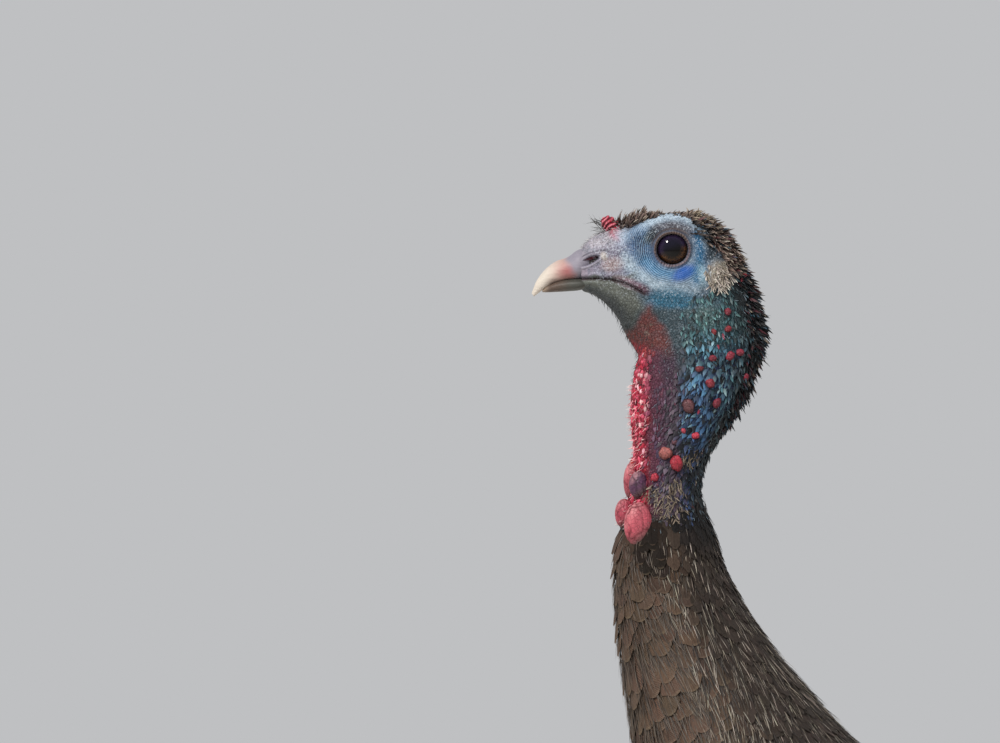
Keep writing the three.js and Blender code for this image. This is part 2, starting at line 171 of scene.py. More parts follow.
def strokeGap(x, z, line):
    # distance in the side view from a line of corners, and how far along it the nearest place is
    best = np.full(len(x), 1e9)
    along = np.zeros(len(x))
    for i, ((ax, az), (bx, bz)) in enumerate(zip(line[:-1], line[1:])):
        run = clamp(((x - ax) * (bx - ax) + (z - az) * (bz - az)) / ((bx - ax) ** 2 + (bz - az) ** 2))
        gap = np.hypot(x - ax - run * (bx - ax), z - az - run * (bz - az))
        along = np.where(gap < best, (i + run) / (len(line) - 1), along)
        best = np.minimum(best, gap)
    return best, along


def band(x, z, line, width):
    # 1 on the line, fading over the width
    return np.exp(-((strokeGap(x, z, line)[0] / width) ** 2))


# The body as one loft of stations: front or low point x, z; back or high point x, z; half width;
# corner exponent; how far towards the back the section is widest
bodyStations = [
    [-43.7, -19.8, -43.7, 0.2, 8.6, 2.2, 0],
    [-37, -22.3, -37, 6.2, 10.2, 2.2, 0],
    [-30.5, -27.5, -29, 9.2, 12.6, 2.3, 0.05],
    [-25.6, -34, -20, 13, 15.2, 2.4, 0.12],
    [-22, -41.5, -10, 17.2, 17, 2.4, 0.18],
    [-17.6, -48.2, 2, 18.2, 17.8, 2.4, 0.2],
    [-16, -53.5, 14, 16, 18, 2.3, 0.14],
    [-17.5, -59, 26.5, 6.5, 18.2, 2.2, 0.06],
    [-18.4, -65, 35.5, -7.5, 18.6, 2.1, 0],
    [-19, -71, 42.4, -22.5, 19, 2, 0],
    [-19, -77.5, 45.6, -38, 19.2, 2, 0],
    [-18.6, -84, 43.8, -51.5, 19, 2, 0],
    [-17.8, -91, 38, -68, 18.3, 2, 0],
    [-17.6, -98.5, 28.6, -84.5, 17.2, 2, 0],
    [-17.8, -107, 19.5, -99.5, 16.3, 2, 0],
    [-18.8, -117, 16.3, -114, 16.6, 2, 0],
    [-22.5, -128, 17.2, -127, 18.8, 2, 0],
    [-27, -138.5, 21, -138.5, 21.8, 2, 0],
    [-28.5, -152, 25.5, -152, 25, 2, 0],
    [-27.8, -171, 35, -171, 29.5, 2, 0],
    [-25.5, -194, 50, -193, 35.5, 2, 0],
    [-20.5, -228, 65, -211, 45, 2, 0],
    [-17.5, -262, 80, -228, 56.5, 2, 0],
    [-22, -297, 96, -243, 69, 2, 0],
    [-36, -338, 114, -257, 81, 2, 0],
    [-47, -385, 136, -272, 91, 2, 0],
    [-46, -430, 162, -288, 97, 2.1, 0.06],
    [-28, -472, 192, -307, 100, 2.15, 0.1],
    [8, -508, 225, -328, 100, 2.15, 0.12],
    [58, -536, 260, -352, 96, 2.15, 0.12],
    [112, -552, 294, -376, 88, 2.1, 0.12],
    [168, -557, 326, -400, 77, 2.1, 0.1],
    [222, -547, 354, -422, 64, 2, 0.08],
    [270, -529, 378, -441, 51, 2, 0.05],
    [312, -508, 398, -457, 38, 2, 0],
    [352, -488, 412, -468, 25, 2, 0],
]
lastStation = len(bodyStations) - 1
mergeGap = 2e-6  # metres, for joining a tube's seam
patchSize = 0.003  # how much of the skin's map a feather, bead or blade takes
sides = (("Left", -1), ("Right", 1))  # the bird's own left and right


def curveThrough(values, share):
    values = np.asarray(values, float)
    padded = np.vstack([2 * values[0] - values[1], values, 2 * values[-1] - values[-2]])
    place = clamp(share) * (len(values) - 1)
    before = np.minimum(place.astype(int), len(values) - 2)
    past = (place - before)[:, None]
    p0, p1, p2, p3 = (padded[before + k] for k in range(4))
    bend = (2 * p0 - 5 * p1 + 4 * p2 - p3) * past**2 + (3 * p1 - p0 - 3 * p2 + p3) * past**3
    return 0.5 * (2 * p1 + (p2 - p0) * past + bend)


def loftPoint(stations, share, angle, swell=0.0):
    # a place at a share of the way along and at an angle from the back point, pushed out by swell
    rows = curveThrough(stations, share)
    front, back = rows[:, 0:2], rows[:, 2:4]
    half, power, widest = rows[:, 4], rows[:, 5], rows[:, 6]
    across = back - front
    depth = np.linalg.norm(across, axis=1) / 2
    up = across / (2 * depth[:, None])
    sine, cosine = np.sin(angle), np.cos(angle)
    rise = np.sign(cosine) * np.abs(cosine) ** (2 / power) + widest * sine**2
    side = np.sign(sine) * np.abs(sine) ** (2 / power)
    middle = (front + back) / 2 + up * (rise * (depth + swell))[:, None]
    return np.stack([middle[:, 0], side * (half + swell), middle[:, 1]], -1)


def bodyPoint(share, angle, swell=0.0):
    return loftPoint(bodyStations, share, angle, swell)


def slopes(surface, share, angle):
    # how the place moves along and round a surface, and the way out of it
    step = 1e-4
    along = (surface(share + step, angle) - surface(share - step, angle)) / (2 * step)
    around = (surface(share, angle + step) - surface(share, angle - step)) / (2 * step)
    out = unit(np.cross(along, around))
    raised = surface(share, angle, 1.0) - surface(share, angle)
    return along, around, out * np.where(np.sum(out * raised, 1) < 0, -1.0, 1.0)[:, None]


def meshFrom(name, bm):
    mesh = bpy.data.meshes.new(name)
    bm.to_mesh(mesh)
    bm.free()
    return mesh


def seal(bm):
    # join a tube along its seam and fill its ends
    bmesh.ops.remove_doubles(bm, verts=bm.verts, dist=mergeGap)
    bmesh.ops.holes_fill(bm, edges=[e for e in bm.edges if e.is_boundary], sides=0)
    bmesh.ops.recalc_face_normals(bm, faces=bm.faces)


def sealMesh(mesh):
    bm = bmesh.new()
    bm.from_mesh(mesh)
    seal(bm)
    bm.to_mesh(mesh)
    bm.free()


def newPiece(name, bm, replaced, material):
    return placed(name, meshFrom(name, bm), replaced, material)


def placed(name, mesh, replaced, material):
    piece = bpy.data.objects.new(name, mesh)
    scene.collection.objects.link(piece)
    mesh.materials.append(material)
    mesh.shade_smooth()
    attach(piece, "root")
    if replaced:
        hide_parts(*replaced)
    return piece


def coordsOf(bm):
    return np.array([v.co for v in bm.verts])


def setCoords(bm, points):
    for vert, point in zip(bm.verts, points.tolist()):
        vert.co = point


def putColours(mesh, name, colours):
    layer = mesh.attributes.new(name, "FLOAT_COLOR", "POINT")
    layer.data.foreach_set(
        "color", np.hstack([colours, np.ones((len(colours), 1))]).astype(np.float32).ravel()
    )


def putValues(mesh, name, values):
    layer = mesh.attributes.new(name, "FLOAT", "POINT")
    layer.data.foreach_set("value", np.asarray(values, np.float32))


def meshPoints(mesh):
    out = np.empty(len(mesh.vertices) * 3, np.float32)
    mesh.vertices.foreach_get("co", out)
    return out.reshape(-1, 3).astype(float)


# Materials: a wire is a socket that takes part in sums
class Wire:
    def __init__(self, tree, socket=None):
        self.tree = tree
        self.socket = socket

    def node(self, kind, settings=None, values=None, output=0):
        made = self.tree.nodes.new("ShaderNode" + kind)
        for key, value in (settings or {}).items():
            if key == "stops":
                while len(made.color_ramp.elements) < len(value):
                    made.color_ramp.elements.new(0.5)
                for element, (at, colour) in zip(made.color_ramp.elements, value):
                    element.position = at
                    element.color = colour
            else:
                setattr(made, key, value)
        for key, value in (values or {}).items():
            if isinstance(value, Wire):
                self.tree.links.new(value.socket, made.inputs[key])
            else:
                made.inputs[key].default_value = value
        return Wire(self.tree, made.outputs[output])

    def maths(self, operation, *terms):
        return self.node("Math", {"operation": operation}, dict(enumerate(terms)))

    def __add__(self, other):
        return self.maths("ADD", self, other)

    def __sub__(self, other):
        return self.maths("SUBTRACT", self, other)

    def __rsub__(self, other):
        return self.maths("SUBTRACT", other, self)

    def __mul__(self, other):
        return self.maths("MULTIPLY", self, other)

    def __truediv__(self, other):
        return self.maths("DIVIDE", self, other)

    def __pow__(self, other):
        return self.maths("POWER", self, other)

    __radd__ = __add__
    __rmul__ = __mul__

    def within(self, low, high):
        # eases from 0 at low to 1 at high
        settings = {"interpolation_type": "SMOOTHSTEP"}
        return self.node("MapRange", settings, {"Value": self, "From Min": low, "From Max": high})

    def sine(self):
        return self.maths("SINE", self)


def mixColour(share, first, second, blend="MIX"):
    values = {0: share, 6: first, 7: second}
    return share.node("Mix", {"data_type": "RGBA", "blend_type": blend, "clamp_factor": True}, values, 2)


def colour(words):
    return (*paint(words), 1)


def newMaterial(name, constants, build):
    material = bpy.data.materials.new(name)
    material.use_nodes = True
    tree = material.node_tree
    shader = next(n for n in tree.nodes if n.type == "BSDF_PRINCIPLED")
    for key, value in constants.items():
        shader.inputs[key].default_value = value
    for key, wire in build(Wire(tree)).items():
        tree.links.new(wire.socket, shader.inputs[key])
    return material


def attribute(start, name, output="Color"):
    return start.node("Attribute", {"attribute_name": name}, {}, output)


def noiseAt(start, coords, size, detail=2.0, roughness=0.5):
    # size in millimetres; gives 0 to 1
    values = {"Vector": coords, "Scale": 1000 / size, "Detail": detail, "Roughness": roughness}
    return start.node("TexNoise", {}, values, "Fac")


def objectCoords(start):
    return start.node("TexCoord", {}, {}, "Object")


def bumpFrom(start, height, depth, strength=1.0):
    # depth in millimetres for a height of 1
    return start.node(
        "Bump", {}, {"Height": height, "Distance": depth / 1000, "Strength": strength}, "Normal"
    )


def fromEyeNodes(start, coords):
    # the place in the side view from the eye's middle, and its distance in millimetres
    placing = {"Vector": coords, "Location": (-eyeMiddle[0], 0.0, -eyeMiddle[2]), "Scale": (1.0, 0.0, 1.0)}
    middle = start.node("Mapping", {}, placing)
    return middle, start.node("VectorMath", {"operation": "LENGTH"}, {0: middle}, "Value") * 1000


def skinNodes(start):
    coords = objectCoords(start)
    tone = attribute(start, "tone")
    fleck, pebble, lined = (attribute(start, name, "Fac") for name in ("fleck", "pebble", "lined"))
    fine = noiseAt(start, coords, 0.8, 3.0, 0.65)
    spots = noiseAt(start, coords, 0.95, 3.0, 0.75)
    cells = {"Vector": coords, "Scale": 1000 / 1.35, "Randomness": 1.0}
    dome = 1 - start.node("TexVoronoi", {}, cells, "Distance")
    each = start.node("SeparateColor", {}, {"Color": start.node("TexVoronoi", {}, cells, "Color")}, "Red")
    seam = (
        1 - start.node("TexVoronoi", {"feature": "DISTANCE_TO_EDGE"}, cells, "Distance").within(0.0, 0.17)
    )
    # fine folds run in rings round the eye; below, their grooves are painted dark as painted shade and their
    # crests pale blue as painted highlight
    middle, reach = fromEyeNodes(start, coords)
    rings = (reach * (2 * math.pi / 0.92) + noiseAt(start, coords, 4.0, 2.0) * 9.0).sine().within(-0.2, 0.8)
    light = 1.0 + (fine - 0.5) * 0.55 + (each - 0.5) * pebble * 0.5
    shaded = start.node("HueSaturation", {}, {"Color": tone, "Value": light})
    deep = start.node("HueSaturation", {}, {"Color": tone, "Value": 0.32, "Saturation": 1.1})
    shaded = mixColour(rings * lined * 0.8, shaded, deep)
    shaded = mixColour((1 - rings).within(0.55, 1.0) * lined * (0.1 + fine * 0.5), shaded, colour("A0C6E2"))
    # painted shade: the creases between the pebbles are darkened
    shaded = mixColour(seam * pebble * 0.7, shaded, deep)
    shaded = mixColour((1 - spots.within(0.40, 0.47)) * fleck * 0.8, shaded, deep)
    shaded = mixColour(spots.within(0.54, 0.62) * fleck * 0.45, shaded, colour("D4DEE8"))
    height = fine * 0.5 + (dome - seam * 0.6) * pebble * 0.8 + spots * fleck * 1.1 - rings * lined * 0.5
    return {"Base Color": shaded, "Roughness": 0.62 - fine * 0.25, "Normal": bumpFrom(start, height, 0.42)}


skinMaterial = newMaterial("skin", {"Specular IOR Level": 0.35, "Subsurface Weight": 0.0}, skinNodes)

# Skin: one tube from the bill's root to the rump, finest on the face and bare neck
skinPlan = {
    "around": 208, "rowsPerStation": [(0, 9.3, 14), (9.3, 16.6, 13), (16.6, 22, 5), (22, lastStation, 3)],
    "mouthLine": [
        (-45.6, -14.6), (-37, -14.3), (-30.7, -14.6), (-24, -16.1), (-19, -18.3), (-15.8, -20.2),
        (-12.6, -22.6)
    ],
    "nostril": {"x": -39.6, "z": -5.6, "long": 5.0, "tall": 1.7, "turn": 0.42}, "eyeOpening": (7.35, 7.1),
    "cobalt": (5.6, -11.6, 6.2, 3.1, 0.42, 0.45),
}


def rowShares(plan):
    marks = [0.0]
    for first, last, perStation in plan:
        count = round((last - first) * perStation)
        marks += [first + (last - first) * (i + 1) / count for i in range(count)]
    return np.array(marks) / lastStation


def coatDepth(share, angle):
    # how far the skin lies under the feathers' outer surface
    station = share * lastStation
    neck = ease(station, 16.2, 17.6) * 4.2
    trunk = ease(station, 19, 25) * 6
    crown = ease(np.cos(angle), 0.62, 0.95) * ease(station, 2.6, 3.6) * 1.2
    nape = ease(np.cos(angle), 0.2, 0.8) * ease(station, 5.5, 9) * 1.6
    return neck + trunk + (crown + nape) * (1 - ease(station, 15, 17))


def noseReach(x, z):
    # how far a place is from the nostril's middle, in its own sizes, and how far above its line
    nose = skinPlan["nostril"]
    cosine, sine = math.cos(nose["turn"]), math.sin(nose["turn"])
    dx, dz = x - nose["x"], z - nose["z"]
    above = (dz * cosine - dx * sine) / nose["tall"]
    return np.hypot((dx * cosine + dz * sine) / nose["long"], above), above


def relief(points, share, angle):
    # folds, pits and beads of the bare skin, in millimetres outwards
    x, y, z = points.T
    station = share * lastStation
    side = ease(np.abs(y), 5, 10)
    bare = 1 - ease(station, 15.8, 16.8)
    height = 0.35 * cloud(points, 5.5, 3, 3) * bare
    height -= 1.3 * (1 - ease(x + 1.1 * cloud(points, 3.5, 4, 2), -45.5, -42))
    # brow ridge, the hollow before the eye, cheek and jaw
    height += 1.3 * band(x, z, [(-22, 5.2), (-14, 10.4), (-4, 12.6), (7, 12.4), (12, 8)], 2.3) * side
    height -= 1.0 * band(x, z, [(-19, 1), (-13, -1.5), (-12, -6)], 3.6) * side
    cheek = oval(x, z, -4, -15.5, 16, 5.5, -0.12, 0.6) * side
    height += 0.7 * cheek
    height -= 0.9 * band(x, z, [(-12, -24.5), (-2, -27), (10, -27), (20, -24)], 2.6) * side
    height -= 1.3 * band(x, z, [(17.6, 5.5), (19.5, -2), (17.2, -8)], 2.2) * side
    height += 1.9 * oval(x, z, 22.5, -12.5, 6.6, 7.2, 0.3, 0.5) * side
    # gape: a groove with a lip above and below
    gap, along = strokeGap(x, z, skinPlan["mouthLine"])
    strength = 1 - ease(along, 0.86, 1)
    height -= 1.5 * np.exp(-(gap / 0.75) ** 2) * strength
    height += 0.55 * np.exp(-((gap - 2.0) / 0.9) ** 2) * strength * side
    corner = oval(x, z, -15.5, -20.5, 6.5, 4.0, -0.55, 0.5)
    height += 0.45 * np.sin((z + 0.5 * x) * 5.2) * corner * side
    # nostril: a slanting slit under a lid
    reach = noseReach(x, z)[0]
    noseSide = ease(np.abs(y), 3.0, 5.5)
    height -= 2.8 * (1 - ease(reach, 0.62, 1.12)) * noseSide
    height += 0.75 * np.exp(-((reach - 1.45) / 0.32) ** 2) * noseSide
    # fine rings round the eye, most of all before and below it
    fromEye = np.hypot(x, z)
    rings = (
        ease(fromEye, 9.5, 11) * (1 - ease(fromEye, 15, 19)) * side * (0.35 + 0.65 * ease(-x - z, -4, 8))
    )
    height += 0.16 * np.sin(fromEye * 2 * math.pi / 1.9 + 1.2 * cloud(points, 5, 8, 1)) * rings
    # warts on the lores and cheek, larger scales on the neck
    near, far, mark = pebbles(points, 2.1, 5)
    face = bare * (1 - ease(station, 8.5, 10)) * ease(fromEye, 9.6, 11.5)
    height += (0.30 - 0.45 * near) * face * (0.5 + 0.8 * mark)
    near, far, mark = pebbles(points, 2.6, 21)
    lower = bare * ease(station, 7.4, 9.4)
    height += (0.75 - 0.95 * near) * lower * (0.6 + 0.5 * mark)
    throat = ease(-np.cos(angle), 0.35, 0.75) * ease(station, 9.4, 11.2) * (1 - ease(station, 16.4, 17))
    near, far, mark = pebbles(points * [1, 1, 0.8], 2.3, 31)
    height += (1.35 - 1.7 * near) * throat * (0.7 + 0.5 * mark)
    return height


def lidReach(x, z):
    # 1 at the edge of the eye's opening
    return np.hypot(x / skinPlan["eyeOpening"][0], (z + 0.25) / skinPlan["eyeOpening"][1])


def lidBeads(points):
    return np.sin(np.arctan2(points[:, 2], points[:, 0]) * 38 + 2.4 * cloud(points, 4, 2, 1))


def eyeSeat(points):
    # lids that wrap the eyeball, with the skin drawn in behind the opening
    x, y, z = points.T
    turn = np.arctan2(z, x)
    lidAt = lidReach(x, z)
    level = np.interp(
        lidAt, [0, 0.93, 0.985, 1.02, 1.08, 1.15, 1.22, 1.30, 1.36, 1.7],
        [9, 10.5, 13.6, 14.8, 15.9, 16.3, 16.1, 15.2, 15.5, 16.4]
    )
    beads = 0.42 * lidBeads(points) * np.exp(-(((lidAt - 1.16) / 0.07) ** 2))
    folds = 0.22 * np.sin(lidAt * 60 + 0.6 * np.sin(turn * 3)) * ease(lidAt, 1.02, 1.1)
    share = (1 - ease(lidAt, 1.32, 1.75)) * ease(np.abs(y), 3, 8)
    bulge = np.where(z > 0, 0.35, 0.0) * np.exp(-(((lidAt - 1.2) / 0.14) ** 2))
    moved = mixed(np.abs(y), level + beads + folds + bulge, share)
    return np.stack([x, np.sign(y) * moved, z], -1)


def skinPoint(share, angle):
    base = bodyPoint(share, angle, -coatDepth(share, angle))
    outwards = slopes(bodyPoint, share, angle)[2]
    raised = base + outwards * relief(base, share, angle)[:, None]
    head = 1 - ease(share * lastStation, 8, 9)
    return mixed(raised, eyeSeat(raised), head[:, None])


def skinSheet():
    # the tube laid flat: x is the share along the rows, y the angle
    bm = bmesh.new()
    shares = rowShares(skinPlan["rowsPerStation"])
    bmesh.ops.create_grid(bm, x_segments=len(shares) - 1, y_segments=skinPlan["around"], size=1)
    flat = coordsOf(bm)
    rowsAt = np.linspace(0, 1, len(shares))
    x, y, z = bodyPoint(np.interp((flat[:, 0] + 1) / 2, rowsAt, shares), flat[:, 1] * math.pi).T
    # finer still at the lids, the nostril and the gape
    nearEye = (np.abs(np.hypot(x, z) - 8.4) < 3.4) & (np.abs(y) > 6)
    nose = skinPlan["nostril"]
    nearNose = np.hypot(x - nose["x"], z - nose["z"]) < 6.5
    nearGape = (strokeGap(x, z, skinPlan["mouthLine"])[0] < 2.4) & (np.abs(y) > 4)
    wanted = nearEye | nearNose | nearGape
    bm.verts.index_update()
    edges = [e for e in bm.edges if wanted[e.verts[0].index] and wanted[e.verts[1].index]]
    bmesh.ops.subdivide_edges(bm, edges=edges, cuts=1, use_grid_fill=True)
    flat = coordsOf(bm)
    return bm, np.interp((flat[:, 0] + 1) / 2, rowsAt, shares), flat[:, 1] * math.pi


def faceColours(points, share, angle):
    x, y, z = points.T
    station = share * lastStation
    side = ease(np.abs(y), 4, 8)
    top = np.cos(angle)
    patch = cloud(points, 7, 41, 3)
    small = cloud(points, 2.2, 43, 2)
    tones = np.tile(paint("66788C"), (len(points), 1))  # grey blue of the face
    tones = over(tones, "827E90", ease(-x + 4 * patch, 16, 26))  # lilac grey towards the bill
    tones = over(tones, "B6B0BA", ease(top + 0.1 * patch, 0.35, 0.75) * ease(-x, 22, 30))
    tones = over(tones, "A99390", oval(x, z, -28.5, -7.5, 5.2, 3.2, 0.2, 0.6) * 0.7)
    tones = over(tones, "8A8592", (1 - ease(x + 2 * patch, -43, -39)) * ease(z, -16.5, -14.5) * 0.8)
    tones = over(tones, "8E7480", oval(x, z, -42.5, -11.6, 4.0, 2.2, 0.3, 0.8) * 0.3)
    tones = over(tones, "4B5768", ease(small, 0.0, 0.6) * 0.45)
    tones = over(tones, "B8485A", oval(x, z, -26.6, 7.0, 3.6, 2.8, -0.6, 0.6))
    # crown, and the stippled dark brow with a bright streak over it
    bald = oval(x, 0, -1.0, 0, 8.5, 1, 0, 0.5)
    tones = over(tones, "6E5B50", ease(top, 0.72, 0.88) * ease(station, 2.4, 3.4) * 0.9 * (1 - bald))
    tones = over(
        tones, "B4C4D4", ease(top, 0.6, 0.9) * ease(station, 2.4, 3.4) * bald * (0.7 + 0.4 * small)
    )
    tones = over(
        tones, "56535C", band(x, z, [(-8, 10.2), (0, 11.4), (8, 9.2), (11.4, 5)], 2.6) * side * 0.9
    )
    streak, along = strokeGap(
        x, z, [(-24, 6.4), (-19.5, 6.8), (-12, 12.2), (-4, 15.8), (6, 15.8), (13.5, 10), (16, 2)]
    )
    tones = over(
        tones, "BFD4E6",
        np.exp(-((streak / (2.0 + 2.0 * (1 - ease(x, -22, -12)))) ** 2)) * side * (0.8 + 0.4 * patch)
    )
    # deep blue before the eye
    hollowLine = [(-16.2, 4.5), (-15.5, 0), (-13.4, -6.5)]
    tones = over(tones, "245A92", band(x, z, hollowLine, 6.2) * side * 0.9)
    tones = over(tones, "152E56", band(x, z, hollowLine, 3.4) * side)
    # painted shadow: near black in the hollow at the eye's upper front corner, under the brow
    tones = over(tones, "0C1018", oval(x, z, -10.6, 6.2, 4.4, 2.5, 0.9, 0.5) * side)
    # blue folds under the eye, a cobalt patch, then a pale speckled band
    tones = over(tones, "3B7FB0", band(x, z, [(-13, -6), (-8, -11), (-1, -12.6)], 2.6) * side * 0.9)
    tones = over(
        tones, "A9BCCB",
        band(
            x, z, [(-22, -5), (-17, -11), (-9, -16.5), (0, -19.5), (8, -19.5), (13.5, -15.5)], 3.0
        ) * side * (0.8 + 0.5 * small)
    )
    tones = over(tones, "1650A0", oval(x, z, *skinPlan["cobalt"]) * side)
    tones = over(
        tones, "20648F", band(x, z, [(12.2, 7), (13.6, 0), (13.2, -7), (11.5, -15)], 2.6) * side * 0.95
    )
    tones = over(tones, "86A9BC", oval(x, z, 14.2, -12.0, 2.0, 5.0, 0.1, 0.6) * side * 0.8)
    darkLine = [(17.5, 10), (19.8, 4), (19.4, -3)]
    tones = over(tones, "1E2C34", band(x, z, darkLine, 3.4) * side * 0.95)
    tones = over(tones, "978F84", oval(x, z, 23.5, -12.5, 6.2, 7.0, 0.3, 0.35) * side)
    tones = over(tones, "C0948C", oval(x, z, 31.0, -11.8, 4.2, 3.6, 0.5, 0.5) * side * 0.95)
    tones = over(tones, "B02A3C", oval(x, z, 35.6, -9.8, 2.2, 2.8, 0.2, 0.5) * side)
    # cheek, jaw and chin
    tones = over(tones, "2A6480", oval(x, z, 0.0, -25.0, 13.5, 5.8, -0.1, 0.5) * side * 0.95)
    tones = over(tones, "2F4450", ease(-z + 3 * patch, 26, 31) * ease(x, -22, -12))
    jaw = ease(-z + 0.42 * (x + 30) + 2.2 * ease(-x, 22, 28) + 4.5 * ease(-x, 31, 38) + patch, 15.2, 17.0)
    jaw = jaw * (1 - ease(x + 0.4 * (z + 25) + 3 * patch, -19, -9))
    tones = over(tones, "5E625C", jaw)
    tones = over(
        tones, "8B9089", oval(x, z, -23.5, -21.3, 5.0, 2.2, -0.5, 0.6) * 0.7 * side * ease(small, -0.2, 0.5)
    )
    tones = over(tones, "262D33", ease(-top, 0.5, 0.9) * ease(-x, 4, 20) * 0.85)
    # gape
    gap, along = strokeGap(x, z, skinPlan["mouthLine"])
    tones = over(tones, "8F7484", oval(x, z, -20.0, -16.8, 8.5, 2.2, -0.35, 0.5) * 0.75 * side)
    tones = over(tones, "5B3446", oval(x, z, -14.6, -19.2, 3.8, 2.0, -0.6, 0.5) * 0.8 * side)
    # painted shade: a dark line along the gape's groove
    tones = over(tones, "2A1519", np.exp(-((gap / 0.7) ** 2)) * (1 - ease(along, 0.94, 1)))
    # nostril: pink inside above, black below as painted shade in the opening, a grey lid and cream warts
    # behind
    reach, above = noseReach(x, z)
    tones = over(tones, "4C4852", np.exp(-(((reach - 1.95) / 0.25) ** 2)) * 0.8 * (above > 0))
    tones = over(tones, "9A95A2", np.exp(-(((reach - 1.45) / 0.3) ** 2)) * 0.8)
    tones = over(tones, "C9BDAE", oval(x, z, -32.8, -3.6, 1.5, 2.0, 0.4, 0.6) * 0.6)
    tones = over(tones, "1C1216", 1 - ease(reach, 0.75, 1.12))
    tones = over(
        tones, "88404E", (1 - ease(reach, 0.5, 1.0)) * ease(above, -0.2, 0.4) * (0.75 + 0.5 * small)
    )
    # lids: tan above, pinkish grey below, a dark margin against the ball; the dark gaps between the lid's
    # beads and the dark groove round the lid, darkest above, are painted shade
    lidAt = lidReach(x, z) + 0.05 * cloud(points, 3.2, 45, 2)
    lid = np.exp(-(((lidAt - 1.13) / 0.085) ** 2)) * side
    gaps = ease(-lidBeads(points), 0.1, 0.9)
    tones = over(tones, "5E4A4E", lid)
    tones = over(tones, "6E5A4E", lid * ease(z - 0.4 * x, -2, 4) * 0.9)
    tones = over(tones, "A08E92", lid * ease(-z + 0.3 * x, 4, 8) * (0.45 + 0.5 * small))
    tones = over(tones, "2E2226", lid * gaps * 0.75)
    tones = over(
        tones, "2A2A38",
        np.exp(-(((lidAt - 1.29) / 0.06) ** 2)) * side * clamp(0.3 + 0.4 * ease(z, 0, 5) + 0.5 * small)
    )
    tones = over(
        tones, "64504A", np.exp(-(((lidAt - 1.4) / 0.06) ** 2)) * side * ease(z - 0.3 * x, 2, 6) * 0.7
    )
    return over(tones, "120B0A", (1 - ease(lidAt, 1.0, 1.05)) * side)


def neckColours(points, share, angle):
    x, y, z = points.T
    patch = cloud(points, 9, 51, 2)
    # the bare neck's skin is darker than the flakes over it and near black at the back: partly its own
    # colour and partly painted shade for the gaps between the flakes
    tones = np.tile(paint("24474F"), (len(points), 1))
    tones = over(tones, "4E6A6A", oval(x, z, 13, -31, 11, 6.5, -0.3, 0.6) * 0.9)
    tones = over(tones, "17284A", ease(-z + patch * 6, 40, 56))
    tones = over(tones, "10182E", ease(-z + patch * 6, 84, 98))
    return over(tones, "14171A", ease(np.cos(angle), 0.4, 0.8) * 0.9)


def throatColours(tones, points, angle):
    # slate under the cheek, brick below the chin, plum and crimson down the throat
    x, y, z = points.T
    patch = cloud(points, 7, 51, 2)
    small = cloud(points, 2.4, 53, 2)
    tones = over(
        tones, "35464F", ease(-z + 3 * patch, 27, 32) * (1 - ease(x + 3 * patch, 4, 14)) * ease(x, -20, -14)
    )
    tones = over(tones, "3E2A3C", (1 - ease(x + 2.5 * patch, 1, 7)) * ease(-z + 2 * patch, 46, 54))
    front = 1 - ease(x + 3 + 0.5 * (z + 40) + 4 * patch, -3, 3)
    brick = (
        front * ease(1.15 * (x + 22.1) - z - 38 + 4 * patch, -1, 5)
        * (1 - ease(-z + 3 * patch, 46, 56) * ease(x, -14, -8))
    )
    tones = over(tones, "6A2A24", brick * (0.8 + 0.3 * small))
    tones = over(tones, "3C3A3C", brick * ease(small + patch, 0.2, 0.9) * ease(x, -22, -12) * 0.7)
    tones = over(tones, "8E8A80", brick * ease(small - patch, 0.5, 1.0) * 0.5)
    plum = (1 - ease(x + 2 * patch, -8, -2)) * ease(-z + 3 * patch, 45, 52)
    tones = over(tones, "5C2A3E", plum * 0.8)
    red = (1 - ease(x + 2 * patch, -14, -10)) * ease(-z + 3 * patch, 43, 50)
    return over(tones, "8E1024", red)


def skinColours(points, share, angle):
    station = share * lastStation
    face = faceColours(points, share, angle)
    neck = neckColours(points, share, angle)
    tones = mixed(face, neck, ease(station - 0.6 * cloud(points, 8, 57, 2), 7.0, 8.2)[:, None])
    tones = throatColours(tones, points, angle)
    return over(tones, "241E1B", ease(station - 0.5 * np.cos(angle), 15.8, 16.4))


def mapAlong(share):
    # the head and bare neck get most of the map, the legs its last strip
    return np.interp(share * lastStation, [0, 9.3, 16.6, lastStation], [0.0, 0.42, 0.66, 0.78])


def foldsAt(points):
    # the blue folds before and under the eye
    x, y, z = points.T
    return (
        band(x, z, [(-15.5, 6), (-14.5, -2), (-10, -9), (-2, -12.5), (8, -12)], 5.2)
        * ease(np.hypot(x, z), 9.6, 10.6)
    )


